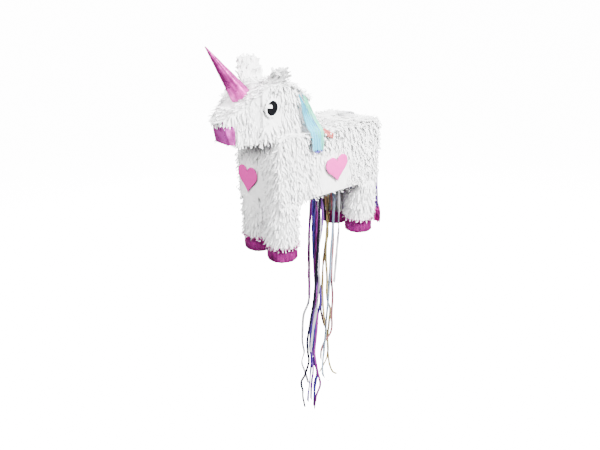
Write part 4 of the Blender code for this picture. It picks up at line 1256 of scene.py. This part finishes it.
def camera_and_light():
    """The photo's view, a sky that is brighter above, and four soft lamps."""
    data = bpy.data.cameras.new("camera")
    data.sensor_width = 36.0
    data.lens = 31.7
    bpy.context.scene.camera = aimed("camera", data, (-0.693, -0.753, 0.212), (-0.011, 0.0, -0.210))

    world = bpy.data.worlds.new("studio")
    world.use_nodes = True
    tree = world.node_tree
    place = add_node(tree, "TexCoord")
    split = add_node(tree, "SeparateXYZ")
    height = add_node(tree, "MapRange", From_Min=-0.6, From_Max=0.7, To_Min=1.3, To_Max=4.6)
    link(place.outputs["Generated"], split.inputs["Vector"])
    link(split.outputs["Z"], height.inputs["Value"])
    link(height.outputs["Result"], tree.nodes["Background"].inputs["Strength"])
    bpy.context.scene.world = world

    for name, place, size, power in (
        ("key", (0.55, -1.8, 1.3), 1.0, 410.0),
        ("fill", (-1.9, -0.7, 0.9), 0.9, 105.0),
        ("top", (0.1, 0.5, 2.0), 1.4, 80.0),
        ("back", (1.3, 1.7, 0.5), 1.6, 130.0),
    ):
        light = bpy.data.lights.new(name, "AREA")
        light.shape = "DISK"
        light.size = size
        light.energy = power
        aimed(name, light, place, (0.0, 0.0, -0.1))


def floor():
    """A plain white studio floor that curves up into a wall all round."""
    z = cad_low.z - 0.15
    profile = [(0.0, 0.0), (2.0, 0.0), (4.0, 0.0), (5.0, 0.13), (5.8, 0.6), (6.3, 1.4), (6.5, 3.0),
               (6.5, 7.0)]
    around = circle(64)
    points = [(radius * x, radius * y, z + height) for radius, height in profile for x, y in around]
    material, shader = new_material("studio_floor", (0.95, 0.95, 0.95), 0.9)
    shader.inputs["Emission Color"].default_value = (1.0, 1.0, 1.0, 1.0)
    shader.inputs["Emission Strength"].default_value = 14.0
    obj = mesh_object("studio_floor", points, grid_faces(len(profile), len(around), wrap=True), material)
    obj.visible_diffuse = False
    obj.visible_glossy = False
    obj.visible_shadow = False


def dress_cad_nodes():
    """Better materials for the CAD nodes that stay."""
    looks = {
        CARDBOARD: ("side_panel_left", "side_panel_right", "back_panel", "chest_panel", "rump_panel",
                    "head_shell"),
        WHITE_BOARD: ("fill_flap", "trap_door", "belly_panel", "snout_shell",
                      *(leg + "_leg" for leg in LEGS)),
        NICKEL: ("hanging_eyelet", "eyelet_washer"),
        PAPER_TAPE: ("ribbon_patch", "front_ribbon_bar", "rear_ribbon_bar"),
    }
    for material, names in looks.items():
        for name in names:
            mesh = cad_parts[name].data
            mesh.materials.clear()
            mesh.materials.append(material)


camera_and_light()
floor()
ribbons()
dress_cad_nodes()
base_skin("body_fringe", "body_skin")
base_skin("head_fringe", "head_skin")
body_fringe()
for leg in LEGS:
    leg_fringe(leg)
    hoof(leg)
head_fringe()
ears()
muzzle()
horn()
hearts()
eyes()
mane()
tail()
rosette()
hinge_tapes()
door_fringe()
